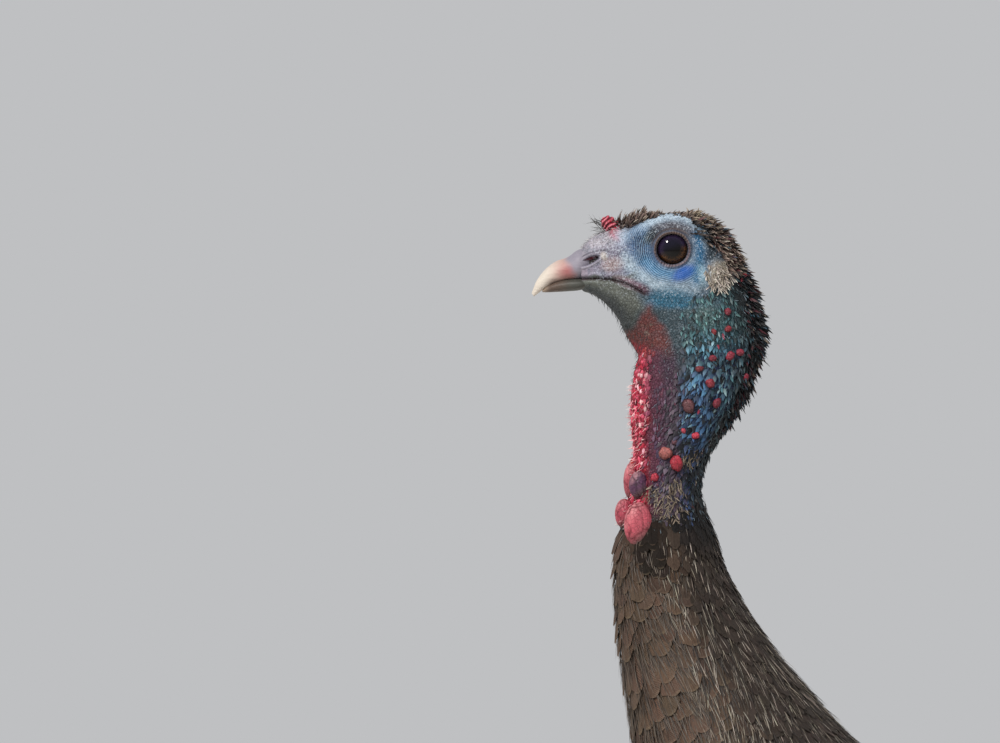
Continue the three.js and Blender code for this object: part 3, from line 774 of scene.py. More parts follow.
def buildSkin():
    bm, share, angle = skinSheet()
    points = skinPoint(share, angle)
    setCoords(bm, toFrame(points))
    mesh = meshFrom("skin", bm)
    x, y, z = points.T
    station = share * lastStation
    fromEye = np.hypot(x, z)
    putColours(mesh, "tone", skinColours(points, share, angle))
    offLid = ease(fromEye, 9.6, 10.6)
    cobalt = oval(x, z, *skinPlan["cobalt"])
    folds = foldsAt(points)
    chin = ease(-np.cos(angle), 0.2, 0.7)
    fleck = (
        offLid * (1 - 0.75 * folds) * (1 - cobalt) * (1 - 0.75 * chin) * mixed(1.0, 0.35, ease(-z, 20, 26))
    )
    putValues(
        mesh, "fleck",
        fleck * (1 - ease(station, 8.4, 9.8)) * ease(x, -45, -33) * (1 - 0.8 * ease(x, 19, 25))
    )
    putValues(mesh, "lined", folds * (1 - 0.75 * cobalt))
    putValues(
        mesh, "pebble",
        offLid * ease(station, 1.0, 2.2) * mixed(0.35, 0.8, ease(-z, 18, 26)) * (1 - 0.6 * folds)
    )
    mapped = mesh.uv_layers.new(name="OFBake")
    corners = np.empty(len(mesh.loops), np.int32)
    mesh.loops.foreach_get("vertex_index", corners)
    flat = np.stack([mapAlong(share[corners]), angle[corners] / (2 * math.pi) + 0.5], -1)
    mapped.data.foreach_set("uv", flat.astype(np.float32).ravel())
    sealMesh(mesh)
    return placed("skin", mesh, ["head", "neck_upper", "neck_lower", "trunk"], skinMaterial)


skin = buildSkin()
print("skin made,", len(skin.data.polygons), "faces")


# Bill: two horny sheaths
def billNodes(start):
    coords = objectCoords(start)
    tone = attribute(start, "tone")
    fine = noiseAt(start, coords, 1.6, 3.0)
    streaks = noiseAt(
        start, start.node("Mapping", {}, {"Vector": coords, "Scale": (0.25, 1.0, 1.0)}), 0.8, 2.0
    )
    shaded = start.node("HueSaturation", {}, {"Color": tone, "Value": 0.88 + streaks * 0.24})
    return {
        "Base Color": shaded, "Roughness": 0.4 + fine * 0.3, "Normal": bumpFrom(start, fine + streaks, 0.16)
    }


billMaterial = newMaterial("billHorn", {"Specular IOR Level": 0.5}, billNodes)
billPlan = {
    "upper": [
        [-36, -13.0, -36, -1.5, 4.6, 2.1, 0],
        [-44, -14.6, -44, -0.4, 8.4, 2.1, 0],
        [-50, -15, -50, -4.1, 7.0, 2.1, 0],
        [-55.5, -16.2, -56, -6.2, 5.5, 2, 0],
        [-60, -18.2, -61, -10, 3.9, 2, 0],
        [-63.5, -20.6, -65, -15.2, 2.3, 2, 0],
        [-66.4, -22.7, -67.4, -21.2, 0.7, 2, 0],
    ],
    "lower": [
        [-36, -17.6, -36, -14.6, 5.0, 2.2, 0],
        [-44, -19.7, -44, -14.0, 7.9, 2.2, 0],
        [-50, -20.3, -50, -14.2, 6.6, 2.1, 0],
        [-55.5, -20.6, -55.5, -15.4, 4.9, 2, 0],
        [-60, -20.8, -60, -17.6, 2.9, 2, 0],
        [-62.3, -20.7, -62.3, -19.8, 1.1, 2, 0],
    ],
    "rows": 90,
    "around": 72,
}


def billColours(points, upper):
    x, y, z = points.T
    if upper:
        tones = np.tile(paint("D0C6BA"), (len(points), 1))
        tones = over(tones, "B07C76", ease(x, -62, -52) * 0.6)
        tones = over(tones, "984A50", oval(x, z, -48.5, -10.5, 5.5, 3.8, 0.3, 0.8) * 0.8)
        cut = x + 0.7 * (z + 8)
        tones = over(tones, "8A8592", ease(cut + 2 * cloud(points, 4, 63, 2), -52, -46.5))
        return over(tones, "7B6A62", (1 - ease(z, -15.4, -13.4)) * ease(x, -62, -56) * 0.7)
    # the lower bill is dark brown, partly its own colour and partly painted shade under the upper bill
    tones = np.tile(paint("54443B"), (len(points), 1))
    tones = over(tones, "40423D", ease(x, -57, -47) * 0.95)
    return over(tones, "8E7C6C", 1 - ease(x, -62, -58))


def buildBill(name, node, stations, upper):
    bm = bmesh.new()
    bmesh.ops.create_grid(bm, x_segments=billPlan["rows"], y_segments=billPlan["around"], size=1)
    flat = coordsOf(bm)
    share, angle = (flat[:, 0] + 1) / 2, flat[:, 1] * math.pi
    points = loftPoint(stations, share, angle)
    out = slopes(lambda s, a, swell=0.0: loftPoint(stations, s, a, swell), share, angle)[2]
    if upper:
        # a keel along the culmen, and the cutting edge drawn in beneath
        points[:, 2] += 0.35 * ease(np.cos(angle), 0.9, 1) * (1 - share)
        points += out * (0.12 * cloud(points, 4, 61, 2))[:, None]
    setCoords(bm, toFrame(points))
    mesh = meshFrom(name, bm)
    putColours(mesh, "tone", billColours(points, upper))
    sealMesh(mesh)
    return placed(name, mesh, [node], billMaterial)


buildBill("billUpper", "bill_upper", billPlan["upper"], True)
buildBill("billLower", "bill_lower", billPlan["lower"], False)
print("bill made")

# Eyes
eyePlan = {"out": 10.38, "radii": (8.8, 7.2, 8.8), "pupil": 4.7, "iris": 7.6}


def eyeNodes(start):
    # a near-black pupil and an iris that is amber below, both tinted plum and navy above as a painted
    # reflection, and a dark rim
    coords = objectCoords(start)
    middle, reach = fromEyeNodes(start, coords)
    rise = (
        start.node("SeparateXYZ", {}, {"Vector": middle}, "Z") * 1000
        + start.node("SeparateXYZ", {}, {"Vector": middle}, "X") * -350
    )
    fibres = noiseAt(start, coords, 0.8, 3.0, 0.7)
    lower = mixColour(fibres.within(0.35, 0.75), colour("1E1009"), colour("5A3A1C"))
    upper = mixColour(fibres.within(0.3, 0.7), colour("171020"), colour("241A34"))
    shaded = mixColour(rise.within(-2.6, 0.8), lower, upper)
    pupil = (reach + (fibres - 0.5) * 1.6).within(eyePlan["pupil"] - 1.3, eyePlan["pupil"] + 1.0)
    shaded = mixColour(pupil, mixColour(rise.within(-1.5, 3.0), colour("060405"), colour("12101F")), shaded)
    shaded = mixColour(reach.within(eyePlan["iris"] - 1.8, eyePlan["iris"]), shaded, colour("0D0706"))
    return {"Base Color": shaded}


eyeMaterial = newMaterial("eye", {"Roughness": 0.05, "Specular IOR Level": 0.25}, eyeNodes)
for sideName, sideSign in sides:
    bm = bmesh.new()
    bmesh.ops.create_uvsphere(bm, u_segments=64, v_segments=40, radius=1)
    points = coordsOf(bm) * np.array(eyePlan["radii"]) + [0, sideSign * eyePlan["out"], 0]
    setCoords(bm, toFrame(points))
    newPiece("eye" + sideName, bm, ["eye_" + sideName.lower()], eyeMaterial)
print("eyes made")


# Shared makers for the many small things that cover the skin. In the plans a lambda's p, s, a and r are
# the points, their shares along the surface, their angles round it and the random source.
def randomOf(seed):
    return np.random.default_rng(seed)


def scatter(surface, shares, angles, spacing, seed, tries, keep=None):
    # random places on a surface, none nearer to another than the spacing there
    rng = randomOf(seed)
    share = rng.uniform(*shares, tries)
    angle = rng.uniform(*angles, tries)
    along, around, out = slopes(surface, share, angle)
    area = np.linalg.norm(np.cross(along, around), axis=1)
    chosen = rng.uniform(0, np.percentile(area, 98), tries) < area
    points = surface(share, angle)
    if keep is not None:
        chosen &= rng.uniform(0, 1, tries) < keep(points, share, angle)
    share, angle, points = share[chosen], angle[chosen], points[chosen]
    apart = spacing(points, share, angle) if callable(spacing) else np.full(len(share), float(spacing))
    size = apart.max()
    grid = {}
    kept = []
    cells = np.floor(points / size).astype(int).tolist()
    for i, (p, cell) in enumerate(zip(points.tolist(), cells)):
        near = (
            q
            for dx in (-1, 0, 1)
            for dy in (-1, 0, 1)
            for dz in (-1, 0, 1)
            for q in grid.get((cell[0] + dx, cell[1] + dy, cell[2] + dz), ())
        )
        if all((p[0] - q[0]) ** 2 + (p[1] - q[1]) ** 2 + (p[2] - q[2]) ** 2 >= apart[i] ** 2 for q in near):
            grid.setdefault(tuple(cell), []).append(p)
            kept.append(i)
    return share[kept], angle[kept]


def templateOf(bm):
    # a small shape as arrays: corners of its vertices, faces' sizes and corners
    points = coordsOf(bm)
    bm.verts.index_update()
    sizes = [len(f.verts) for f in bm.faces]
    corners = [v.index for f in bm.faces for v in f.verts]
    bm.free()
    return points, np.array(sizes), np.array(corners)


def joinedCopies(name, points, sizes, corners, rootUv, localUv):
    # points: copies by vertices by 3, in millimetres; each copy is a small patch of the map at its root
    count, each = points.shape[:2]
    mesh = bpy.data.meshes.new(name)
    mesh.vertices.add(count * each)
    mesh.vertices.foreach_set("co", toFrame(points.reshape(-1, 3)).astype(np.float32).ravel())
    loops = (np.arange(count)[:, None] * each + corners[None]).ravel()
    mesh.loops.add(len(loops))
    mesh.loops.foreach_set("vertex_index", loops.astype(np.int32))
    mesh.polygons.add(count * len(sizes))
    starts = np.concatenate([[0], np.cumsum(np.tile(sizes, count))[:-1]])
    mesh.polygons.foreach_set("loop_start", starts.astype(np.int32))
    mesh.update(calc_edges=True)
    mesh.validate()
    patch = rootUv[:, None, :] + (localUv[None] - 0.5) * patchSize
    mapped = mesh.uv_layers.new(name="OFBake")
    mapped.data.foreach_set("uv", clamp(patch).reshape(-1, 2)[loops].astype(np.float32).ravel())
    return mesh


def mapPlace(share, angle):
    return np.stack([mapAlong(share), (angle / (2 * math.pi) + 0.5) % 1.0], -1)


def framesAt(surface, share, angle, turn=0.0):
    # at each root: the way across, the way along the body turned by an angle, and the way out
    along, around, out = slopes(surface, share, angle)
    along = unit(along)
    across = unit(np.cross(along, out))
    turn = np.broadcast_to(turn, share.shape)[:, None]
    return np.stack(
        [across * np.cos(turn) - along * np.sin(turn), along * np.cos(turn) + across * np.sin(turn), out], 1
    )


def standing(template, origins, frames, scale):
    # copies of a template, each on its own frame, its sizes across, along and out given by scale
    local = template[None] * scale[:, None, :]
    return origins[:, None, :] + np.einsum("nmk,nkj->nmj", local, frames)


def planned(plan, key, place, default=0.0):
    # one value for each root, worked out from its point, share and angle where the plan gives a function
    value = plan.get(key, default)
    value = value(*place) if callable(value) else value
    return np.broadcast_to(np.asarray(value, float), len(place[1]))


def perCopy(values, each):
    return np.repeat(np.asarray(values, float), each, axis=0)


def varied(words, count, rng, lightness=0.18):
    # one colour for each copy, all near the given one
    return paint(words)[None] * (1 + rng.uniform(-lightness, lightness, (count, 1))) * (
        1 + rng.uniform(-0.05, 0.05, (count, 3))
    )


def fleshNodes(start):
    coords = objectCoords(start)
    tone = attribute(start, "tone")
    fine = noiseAt(start, coords, 1.1, 3.0, 0.6)
    # painted shade: dark crease lines, also sunk by the bump
    creases = start.node(
        "TexVoronoi", {"feature": "DISTANCE_TO_EDGE"}, {"Vector": coords, "Scale": 520.0}, "Distance"
    )
    lines = 1 - creases.within(0.0, 0.10)
    shaded = start.node("HueSaturation", {}, {"Color": tone, "Value": 0.72 + fine * 0.56 - lines * 0.16})
    return {
        "Base Color": shaded,
        "Roughness": 0.42 + fine * 0.2,
        "Normal": bumpFrom(start, fine * 0.7 - lines * 0.5, 0.3),
    }


fleshMaterial = newMaterial("flesh", {"Specular IOR Level": 0.45}, fleshNodes)


def bladeNodes(start):
    tone = attribute(start, "tone")
    fine = noiseAt(start, objectCoords(start), 0.8, 2.0)
    shaded = start.node("HueSaturation", {}, {"Color": tone, "Value": 0.8 + fine * 0.4})
    return {"Base Color": shaded, "Roughness": 0.5 + fine * 0.2, "Normal": bumpFrom(start, fine, 0.1)}


bladeMaterial = newMaterial("plume", {"Specular IOR Level": 0.4}, bladeNodes)


def beadTemplate(levels, point=0.35, lift=0.2):
    # a low dome, open beneath, drawn out to a point along the lie
    bm = bmesh.new()
    bmesh.ops.create_icosphere(bm, subdivisions=levels, radius=1)
    bmesh.ops.bisect_plane(
        bm, geom=bm.verts[:] + bm.edges[:] + bm.faces[:], plane_co=(0, 0, -0.25), plane_no=(0, 0, -1),
        clear_outer=True
    )
    points, sizes, corners = templateOf(bm)
    y = points[:, 1].copy()
    points[:, 0] *= 1 - point * clamp(y) ** 2
    points[:, 2] += lift * clamp(y) ** 2
    return points, sizes, corners


def beadsOn(name, plan, roots, colours, seed):
    share, angle = roots
    rng = randomOf(seed)
    count = len(share)
    template, sizes, corners = beadTemplate(plan["levels"], plan["point"], plan["lift"])
    origins = skinPoint(share, angle)
    frames = framesAt(bodyPoint, share, angle, rng.uniform(-0.35, 0.35, count))
    size = plan["size"] * rng.uniform(0.78, 1.2, count)
    tilt = rng.uniform(0.9, 1.15, count)
    scale = np.stack([size * 0.5, size * 0.5 * plan["long"] * tilt, size * 0.5 * plan["tall"]], -1)
    rocked = frames.copy()
    lean = plan["lean"]
    rocked[:, 1] = unit(frames[:, 1] * math.cos(lean) + frames[:, 2] * math.sin(lean))
    rocked[:, 2] = unit(frames[:, 2] * math.cos(lean) - frames[:, 1] * math.sin(lean))
    points = standing(template, origins + frames[:, 2] * plan["rise"], rocked, scale)
    mesh = joinedCopies(name, points, sizes, corners, mapPlace(share, angle), template[:, :2] * 0.4 + 0.5)
    tones = perCopy(colours(origins, share, angle, rng), len(template))
    # painted shade and painted highlight: each bead darker at its foot and lighter at its crown
    high = np.tile(ease(template[:, 2], -0.6, 0.9), count)[:, None]
    putColours(mesh, "tone", tones * (0.42 + 0.68 * high))
    return placed(name, mesh, [], fleshMaterial)


# Bare neck: pointed flakes at the side, crimson beads down the throat
def flakeTemplate():
    # a small bent leaf, broadest a third of the way out
    bm = bmesh.new()
    bmesh.ops.create_grid(bm, x_segments=2, y_segments=4, size=1)
    points, sizes, corners = templateOf(bm)
    across, along = points[:, 0].copy(), (points[:, 1] + 1) / 2
    width = np.interp(along, [0, 0.25, 0.5, 0.75, 1.0], [0.6, 1.0, 0.9, 0.52, 0.04])
    return np.stack([across * width, along, -0.28 * across**2 * width], -1), sizes, corners


def flakesOn(name, roots, plan, colours, seed):
    share, angle = roots
    rng = randomOf(seed)
    count = len(share)
    template, sizes, corners = flakeTemplate()
    origins = skinPoint(share, angle)
    frames = framesAt(
        bodyPoint, share, angle, plan["turn"](origins, share, angle) + rng.normal(0, plan["spread"], count)
    )
    length = plan["length"](origins, share, angle) * rng.uniform(0.7, 1.35, count)
    width = length * plan["broad"](origins, share, angle) * rng.uniform(0.75, 1.25, count)
    lift = (plan["lift"] + rng.normal(0, plan["liftSpread"], count))[:, None]
    roll = rng.normal(0, 0.22, count)[:, None]
    side = frames[:, 0] * np.cos(roll) + frames[:, 2] * np.sin(roll)
    y = template[None, :, 1]
    bend = lift * (1 - 0.5 * plan["curl"] * y)
    points = origins[:, None] - frames[:, 2][:, None] * 0.15
    points = points + (np.cos(bend) * y * length[:, None])[..., None] * frames[:, 1][:, None]
    points = points + (np.sin(bend) * y * length[:, None])[..., None] * frames[:, 2][:, None]
    points = points + (template[None, :, 0] * width[:, None] * 0.5)[..., None] * side[:, None]
    points = points + (template[None, :, 2] * width[:, None] * 0.5)[..., None] * frames[:, 2][:, None]
    mesh = joinedCopies(
        name, points, sizes, corners, mapPlace(share, angle),
        np.stack([template[:, 0] * 0.4 + 0.5, template[:, 1]], -1)
    )
    tones = perCopy(colours(origins, share, angle, rng), len(template))
    # painted shade at each flake's root and painted highlight towards its tip
    edge = np.tile(mixed(0.55, 1.15, ease(template[:, 1], 0.0, 0.9)), count)[:, None]
    putColours(mesh, "tone", tones * edge)
    return placed(name, mesh, [], bladeMaterial)


def pick(rng, count, choices):
    # one of several colours for each copy, by weight; each choice is a colour and its weight
    words, weights = zip(*choices)
    kind = rng.choice(len(words), count, p=np.array(weights) / sum(weights))
    tones = np.stack([varied(word, count, rng, 0.22) for word in words])
    return tones[kind, np.arange(count)]


flakePlan = {
    "length": lambda p, s, a: mixed(3.0, 3.9, ease(-p[:, 2], 30, 60)),
    "broad": lambda p, s, a: mixed(0.36, 0.5, ease(-p[:, 2], 34, 58)) * mixed(
        1, 0.75, ease(np.cos(a), 0.3, 0.7)
    ),
    "turn": lambda p, s, a: -0.25 * np.sin(a) * ease(-p[:, 2], 20, 40), "spread": 0.34, "lift": 0.34,
    "liftSpread": 0.18, "curl": 0.7, "spacing": 1.05,
}


def flakeKeep(points, share, angle):
    x, y, z = points.T
    station = share * lastStation
    patch = cloud(points, 7, 71)
    front = ease(x + 4 * patch - 0.12 * (z + 40), 1, 10)
    top = ease(-z + 0.55 * (x - 14) + 4 * patch, 19, 25)
    dull = 1 - 0.8 * oval(x, z, 9, -30, 9, 5.5, -0.3, 0.6)
    return top * front * dull * (1 - ease(station - 0.5 * np.cos(angle), 15.6, 16.2))


def flakeColours(points, share, angle, rng):
    x, y, z = points.T
    count = len(points)
    patch = cloud(points, 8, 73, 2)
    drop = -z + 7 * patch
    high = pick(rng, count, [("3C7A80", 5), ("62A3A4", 2), ("24505C", 3), ("14242A", 4), ("8FB4B4", 0.7)])
    teal = pick(rng, count, [("2C7C98", 5), ("55A3C4", 2.2), ("1B4058", 3), ("0D1620", 4), ("86BCCC", 0.8)])
    blue = pick(rng, count, [("22629C", 5), ("3A88BE", 2.2), ("173C68", 3), ("0B111C", 4), ("74AAC4", 0.6)])
    steel = pick(
        rng, count, [("2E5E74", 5), ("4A8A9C", 2.2), ("1C3A4C", 3), ("0E161C", 4.5), ("80A4AC", 0.8)]
    )
    navy = pick(rng, count, [("1C3468", 4), ("2A4F94", 1.6), ("0B0F1C", 5), ("5D7FA8", 0.5)])
    tones = mixed(high, teal, ease(drop, 36, 46)[:, None])
    tones = mixed(tones, steel, ease(drop, 44, 54)[:, None])
    cobalt = ease(drop, 52, 64) * (1 - 0.85 * ease(x + 4 * patch, 14, 25))
    tones = mixed(tones, blue, cobalt[:, None])
    tones = mixed(tones, navy, ease(drop, 84, 98)[:, None])
    grey = pick(rng, count, [("1B2126", 6), ("37474E", 3), ("5E6C70", 1), ("2B4A54", 1.5)])
    rear = ease(np.cos(angle) + 0.25 * patch, 0.5, 0.85)
    tones = mixed(tones, grey, rear[:, None])
    plum = pick(rng, count, [("4A3048", 4), ("2A1C30", 3), ("6E5068", 1)])
    tones = mixed(tones, plum, (1 - ease(x + 3 * patch, 2, 8))[:, None] * ease(-z, 44, 52)[:, None])
    chosen = rng.uniform(0, 1, (count, 1)) < 0.008 * (1 - rear[:, None]) * ease(-z, 22, 40)[:, None]
    grey = mixed(tones, tones.mean(1, keepdims=True) * [0.8, 1.0, 1.1], 0.35)
    return np.where(chosen, varied("A2344A", count, rng, 0.2), grey) * 0.8


roots = scatter(
    bodyPoint, (6.4 / lastStation, 16.6 / lastStation), (-math.pi, math.pi), flakePlan["spacing"], 101,
    60000, flakeKeep
)
flakesOn("neckFlakes", roots, flakePlan, flakeColours, 102)
print("neck flakes:", len(roots[0]))

# round beads crowd the throat
beadPlan = {
    "size": 2.2, "long": 1.35, "tall": 0.75, "lean": 0.15, "rise": -0.25, "levels": 2, "point": 0.25,
    "lift": 0.15, "spacing": 1.28
}


def beadKeep(points, share, angle):
    x, y, z = points.T
    patch = cloud(points, 6, 77)
    front = 1 - ease(x + 2.5 * patch - 0.05 * (z + 50), -12.5, -9)
    return front * ease(-z + 3 * patch, 46, 52) * (1 - ease(-z, 118, 124))


def beadColours(points, share, angle, rng):
    count = len(points)
    x, y, z = points.T
    tones = pick(
        rng, count, [("A81C38", 5), ("8E1832", 3), ("D0506A", 3), ("E8B0B8", 1.3), ("5E1020", 1.8)]
    )
    side = ease(x + 2.5 * cloud(points, 5, 78), -14.5, -10.5)[:, None]
    tones = mixed(tones, pick(rng, count, [("74304A", 4), ("562438", 3), ("8E4A60", 1.2)]), side * 0.92)
    top = ease(-z + 2 * cloud(points, 5, 79), 55, 47)[:, None]
    return mixed(tones, varied("7E2A22", count, rng, 0.2), top * 0.85)


roots = scatter(
    bodyPoint, (6 / lastStation, 17 / lastStation), (math.pi * 0.45, math.pi * 1.55), beadPlan["spacing"],
    105, 50000, beadKeep
)
beadsOn("throatBeads", beadPlan, roots, beadColours, 106)
print("throat beads:", len(roots[0]))


def plumKeep(points, share, angle):
    x, y, z = points.T
    patch = cloud(points, 6, 277)
    return (
        ease(x + 2.5 * patch, -8.5, -6.0) * (1 - ease(x + 3 * patch - 0.12 * (z + 40), 2, 7))
        * ease(-z + 3 * patch, 46, 52) * (1 - ease(-z, 116, 122))
    )


def plumColours(points, share, angle, rng):
    tones = pick(rng, len(points), [("4E3448", 5), ("3A2638", 4), ("6A5064", 1.0), ("5E2A40", 1.6)])
    return mixed(
        tones, varied("2A2240", len(points), rng, 0.2), ease(-points[:, 2], 84, 100)[:, None] * 0.6
    )


plumPlan = dict(beadPlan, long=1.9, point=0.5, tall=0.34, lean=0.1, size=1.6, rise=-0.05, spacing=1.5)
roots = scatter(
    bodyPoint, (9.5 / lastStation, 17 / lastStation), (-math.pi, math.pi), plumPlan["spacing"], 107, 40000,
    plumKeep
)
beadsOn("plumScales", plumPlan, roots, plumColours, 108)
print("plum scales:", len(roots[0]))


# The large caruncles and a few round ones up the side of the neck
def lumpTemplate(levels, seed, creased):
    bm = bmesh.new()
    bmesh.ops.create_icosphere(bm, subdivisions=levels, radius=1)
    points, sizes, corners = templateOf(bm)
    out = unit(points)
    bent = points + 0.25 * np.stack([cloud(points, 0.5, seed + k, 2) for k in range(3)], -1)
    near, far, mark = pebbles(bent + seed, 0.95, seed)
    furrow = np.exp(-((far - near) / 0.06) ** 2)
    swell = 0.06 * cloud(points, 0.9, seed, 2) - creased * furrow
    points = points + out * swell[:, None]
    return points, sizes, corners, furrow


caruncles = [
    {
        "node": "caruncle_1", "at": (-15.6, -15.0, -132.4), "radii": (7.5, 6.2, 10.9), "tone": "B8505E",
        "creased": 0.05
    },
    {
        "node": "caruncle_2", "at": (-22.9, -4.5, -127), "radii": (4.6, 5.4, 7.4), "tone": "B4485A",
        "creased": 0.05
    },
    # caruncles 3 and 6 are dark purple, partly their own colour and partly painted shade
    {
        "node": "caruncle_3", "at": (-15.9, -10.6, -113.4), "radii": (4.9, 4.6, 6.9), "tone": "54304E",
        "creased": 0.03
    },
    {
        "node": "caruncle_4", "at": (-19.3, -1.0, -111.5), "radii": (4.2, 5.0, 9.2), "tone": "B4505E",
        "creased": 0.05
    },
    {
        "node": "caruncle_5", "at": (-16.5, 13.4, -130.6), "radii": (6.2, 5.4, 8.6), "tone": "CE5C6C",
        "creased": 0.06
    },
    {
        "node": "caruncle_6", "at": (-14.6, 11.4, -112.9), "radii": (4.6, 4.4, 6.4), "tone": "5C3450",
        "creased": 0.05
    },
]
for number, lump in enumerate(caruncles):
    points, sizes, corners, furrow = lumpTemplate(5, 3 + number, lump["creased"])
    shaped = points * np.array(lump["radii"]) * 0.99 + np.array(lump["at"])
    mesh = joinedCopies(
        "caruncle" + str(number + 1), shaped[None], sizes, corners, np.array([[0.5, 0.5]]),
        points[:, :2] * 100 + 0.5
    )
    mesh.uv_layers.remove(mesh.uv_layers["OFBake"])
    tones = paint(lump["tone"])[None] * (0.92 + 0.3 * cloud(points, 0.5, number, 2)[:, None])
    # painted shade: grey-brown low and towards the back; painted highlight: pale pink high and towards the
    # front; painted shade in the furrows
    tones = over(tones, "54403E", ease(-points[:, 2] + 0.6 * points[:, 0], -0.05, 0.8) * 0.9)
    tones = over(
        tones, "E0A4A4",
        ease(points[:, 2] - 0.6 * points[:, 0] + 0.5 * cloud(points, 0.4, number, 2), 0.3, 1.2) * 0.35
    )
    putColours(mesh, "tone", mixed(tones, paint(lump["tone"]) * [0.3, 0.16, 0.2], (furrow * 0.9)[:, None]))
    placed("caruncle" + str(number + 1), mesh, [lump["node"]], fleshMaterial)

# side-view places up the neck, their radius and colour; each has a fellow on the other side
knobs = [
    (-2.9, -97.8, 3.1, "B06460"), (1.8, -103.0, 3.3, "B42E40"), (10.9, -89.4, 2.1, "D23E54"),
    (5.4, -87.1, 1.4, "C84A5C"), (-8.1, -109.8, 2.4, "B83246"), (7.7, -75.4, 3.2, "6A3F44"),
    (-18.2, -103.7, 2.8, "BE3436"), (18.0, -64.3, 2.5, "96303E"), (27.4, -51.4, 2.5, "9A3044"),
    (32.6, -49.3, 2.2, "9A3044"), (21.1, -73.9, 2.5, "84263A"), (19.2, -52.4, 2.0, "8A3040"),
    (36.5, -60.2, 1.9, "9E2840"), (13.0, -57.6, 2.0, "7A3038"), (26.6, -29.9, 2.0, "8A3040"),
    (26.7, -38.4, 1.9, "8E2A34"), (19.7, -39.8, 1.6, "8E3038"), (1.0, -92.5, 1.7, "6E4450"),
    (36.0, -10.8, 1.5, "C23A4C"), (34.6, -13.6, 1.1, "B84A58"),
]


def sidePlace(x, z, sideSign):
    # the place on the body's side that shows at x, z in the side view
    share, angle = np.meshgrid(
        np.linspace(4, 24, 900) / lastStation, np.linspace(0.02, math.pi - 0.02, 360)
    )
    share, angle = share.ravel(), angle.ravel()
    points = bodyPoint(share, angle)
    best = np.argmin((points[:, 0] - x) ** 2 + (points[:, 2] - z) ** 2)
    return share[best], sideSign * angle[best]


knobPoints, knobRoots, knobTones = [], [], []
points, sizes, corners, furrow = lumpTemplate(4, 31, 0.05)
for number, (x, z, radius, words) in enumerate(knobs):
    for sideSign in (-1, 1):
        share, angle = sidePlace(
            x + (0 if sideSign < 0 else 1.3 * math.sin(number * 2.4)),
            z + (0 if sideSign < 0 else 1.5 * math.cos(number)), sideSign
        )
        here = skinPoint(np.array([share]), np.array([angle]))[0]
        out = slopes(bodyPoint, np.array([share]), np.array([angle]))[2][0]
        size = radius * (0.92 if radius > 2.9 else 0.8)
        lean = number * 1.7
        wide = np.array([math.cos(lean), 0, math.sin(lean)])
        bent = (
            points
            * (
                1 + 0.22 * cloud(points + number * 3.1, 0.8, number, 2)[:, None]
                + 0.09 * cloud(points, 0.3, number + 40, 2)[:, None]
            )
        )
        bent = bent + wide * (bent @ wide)[:, None] * 0.22 - out * (bent @ out)[:, None] * 0.25
        knobPoints.append(bent * size + here + out * (0.2 + size * 0.25))
        knobRoots.append(mapPlace(np.array(share), np.array(angle)))
        # painted light: each knob lighter on top and on its outer side, with painted shade in its furrows
        lit = (
            0.62 + 0.3 * points[:, 2:] + 0.35 * clamp(sideSign * points[:, 1:2])
            + 0.25 * cloud(points, 0.5, number, 2)[:, None]
        )
        knobTones.append(mixed(paint(words) * lit * 0.85, paint(words) * 0.25, (furrow * 0.8)[:, None]))
mesh = joinedCopies(
    "neckKnobs", np.array(knobPoints), sizes, corners, np.array(knobRoots), points[:, :2] * 0.4 + 0.5
)
putColours(mesh, "tone", np.concatenate(knobTones))
placed("neckKnobs", mesh, [], fleshMaterial)
print("caruncles made")

# Snood: a small wrinkled nub over the bill's root
snoodPlan = {
    "line": [(-23.8, 0, 6.2), (-27.2, 0, 8.8), (-30.4, 0, 12.2), (-33.8, 0, 14.4)], "radius": 3.4,
    "rings": 110, "around": 40
}
bm = bmesh.new()
bmesh.ops.create_grid(bm, x_segments=snoodPlan["rings"], y_segments=snoodPlan["around"], size=1)
flat = coordsOf(bm)
share, angle = (flat[:, 0] + 1) / 2, flat[:, 1] * math.pi
line = curveThrough(snoodPlan["line"], share)
ahead = unit(curveThrough(snoodPlan["line"], share + 0.01) - curveThrough(snoodPlan["line"], share - 0.01))
up = unit(np.cross(ahead, [0, 1, 0]))
wrinkles = (
    0.46
    * np.sin(
        share * 38 + 1.9 * np.sin(angle * 2 + 0.6)
        + 0.9 * cloud(line + np.stack([share * 0, np.sin(angle), np.cos(angle)], -1) * 3, 4, 95, 2)
    )
    * ease(share, 0.15, 0.3)
)
radius = (
    snoodPlan["radius"] * np.sqrt(clamp(1 - ease(share, 0.62, 1.04) ** 2))
    * (0.8 + 0.22 * ease(share, 0.1, 0.6))
)
radius = radius * (1 + 0.1 * wrinkles) + 0.55 * wrinkles * (radius > 0.6)
points = (
    line
    + (up * np.cos(angle)[:, None] + np.array([0, 1, 0]) * np.sin(angle)[:, None] * 0.92) * radius[:, None]
)
points += 0.3 * cloud(points, 2.5, 91, 2)[:, None] * up
setCoords(bm, toFrame(points))
mesh = meshFrom("snood", bm)
# painted highlight: pale pink on the wrinkles' ridges and towards the tip, partly the tip's own colour;
# painted shade: dark red in their troughs
tones = np.tile(paint("B02A42"), (len(points), 1))
tones = over(
    tones, "DE8490",
    ease(wrinkles + 0.5 * cloud(points, 1.6, 93, 2) + 0.3 * ease(share, 0.7, 1), 0.2, 0.6) * 0.85
)
tones = over(tones, "4A101E", ease(-wrinkles, 0.05, 0.35) * 0.95)
putColours(mesh, "tone", tones)
sealMesh(mesh)
placed("snoodNub", mesh, ["snood"], fleshMaterial)
print("snood made")


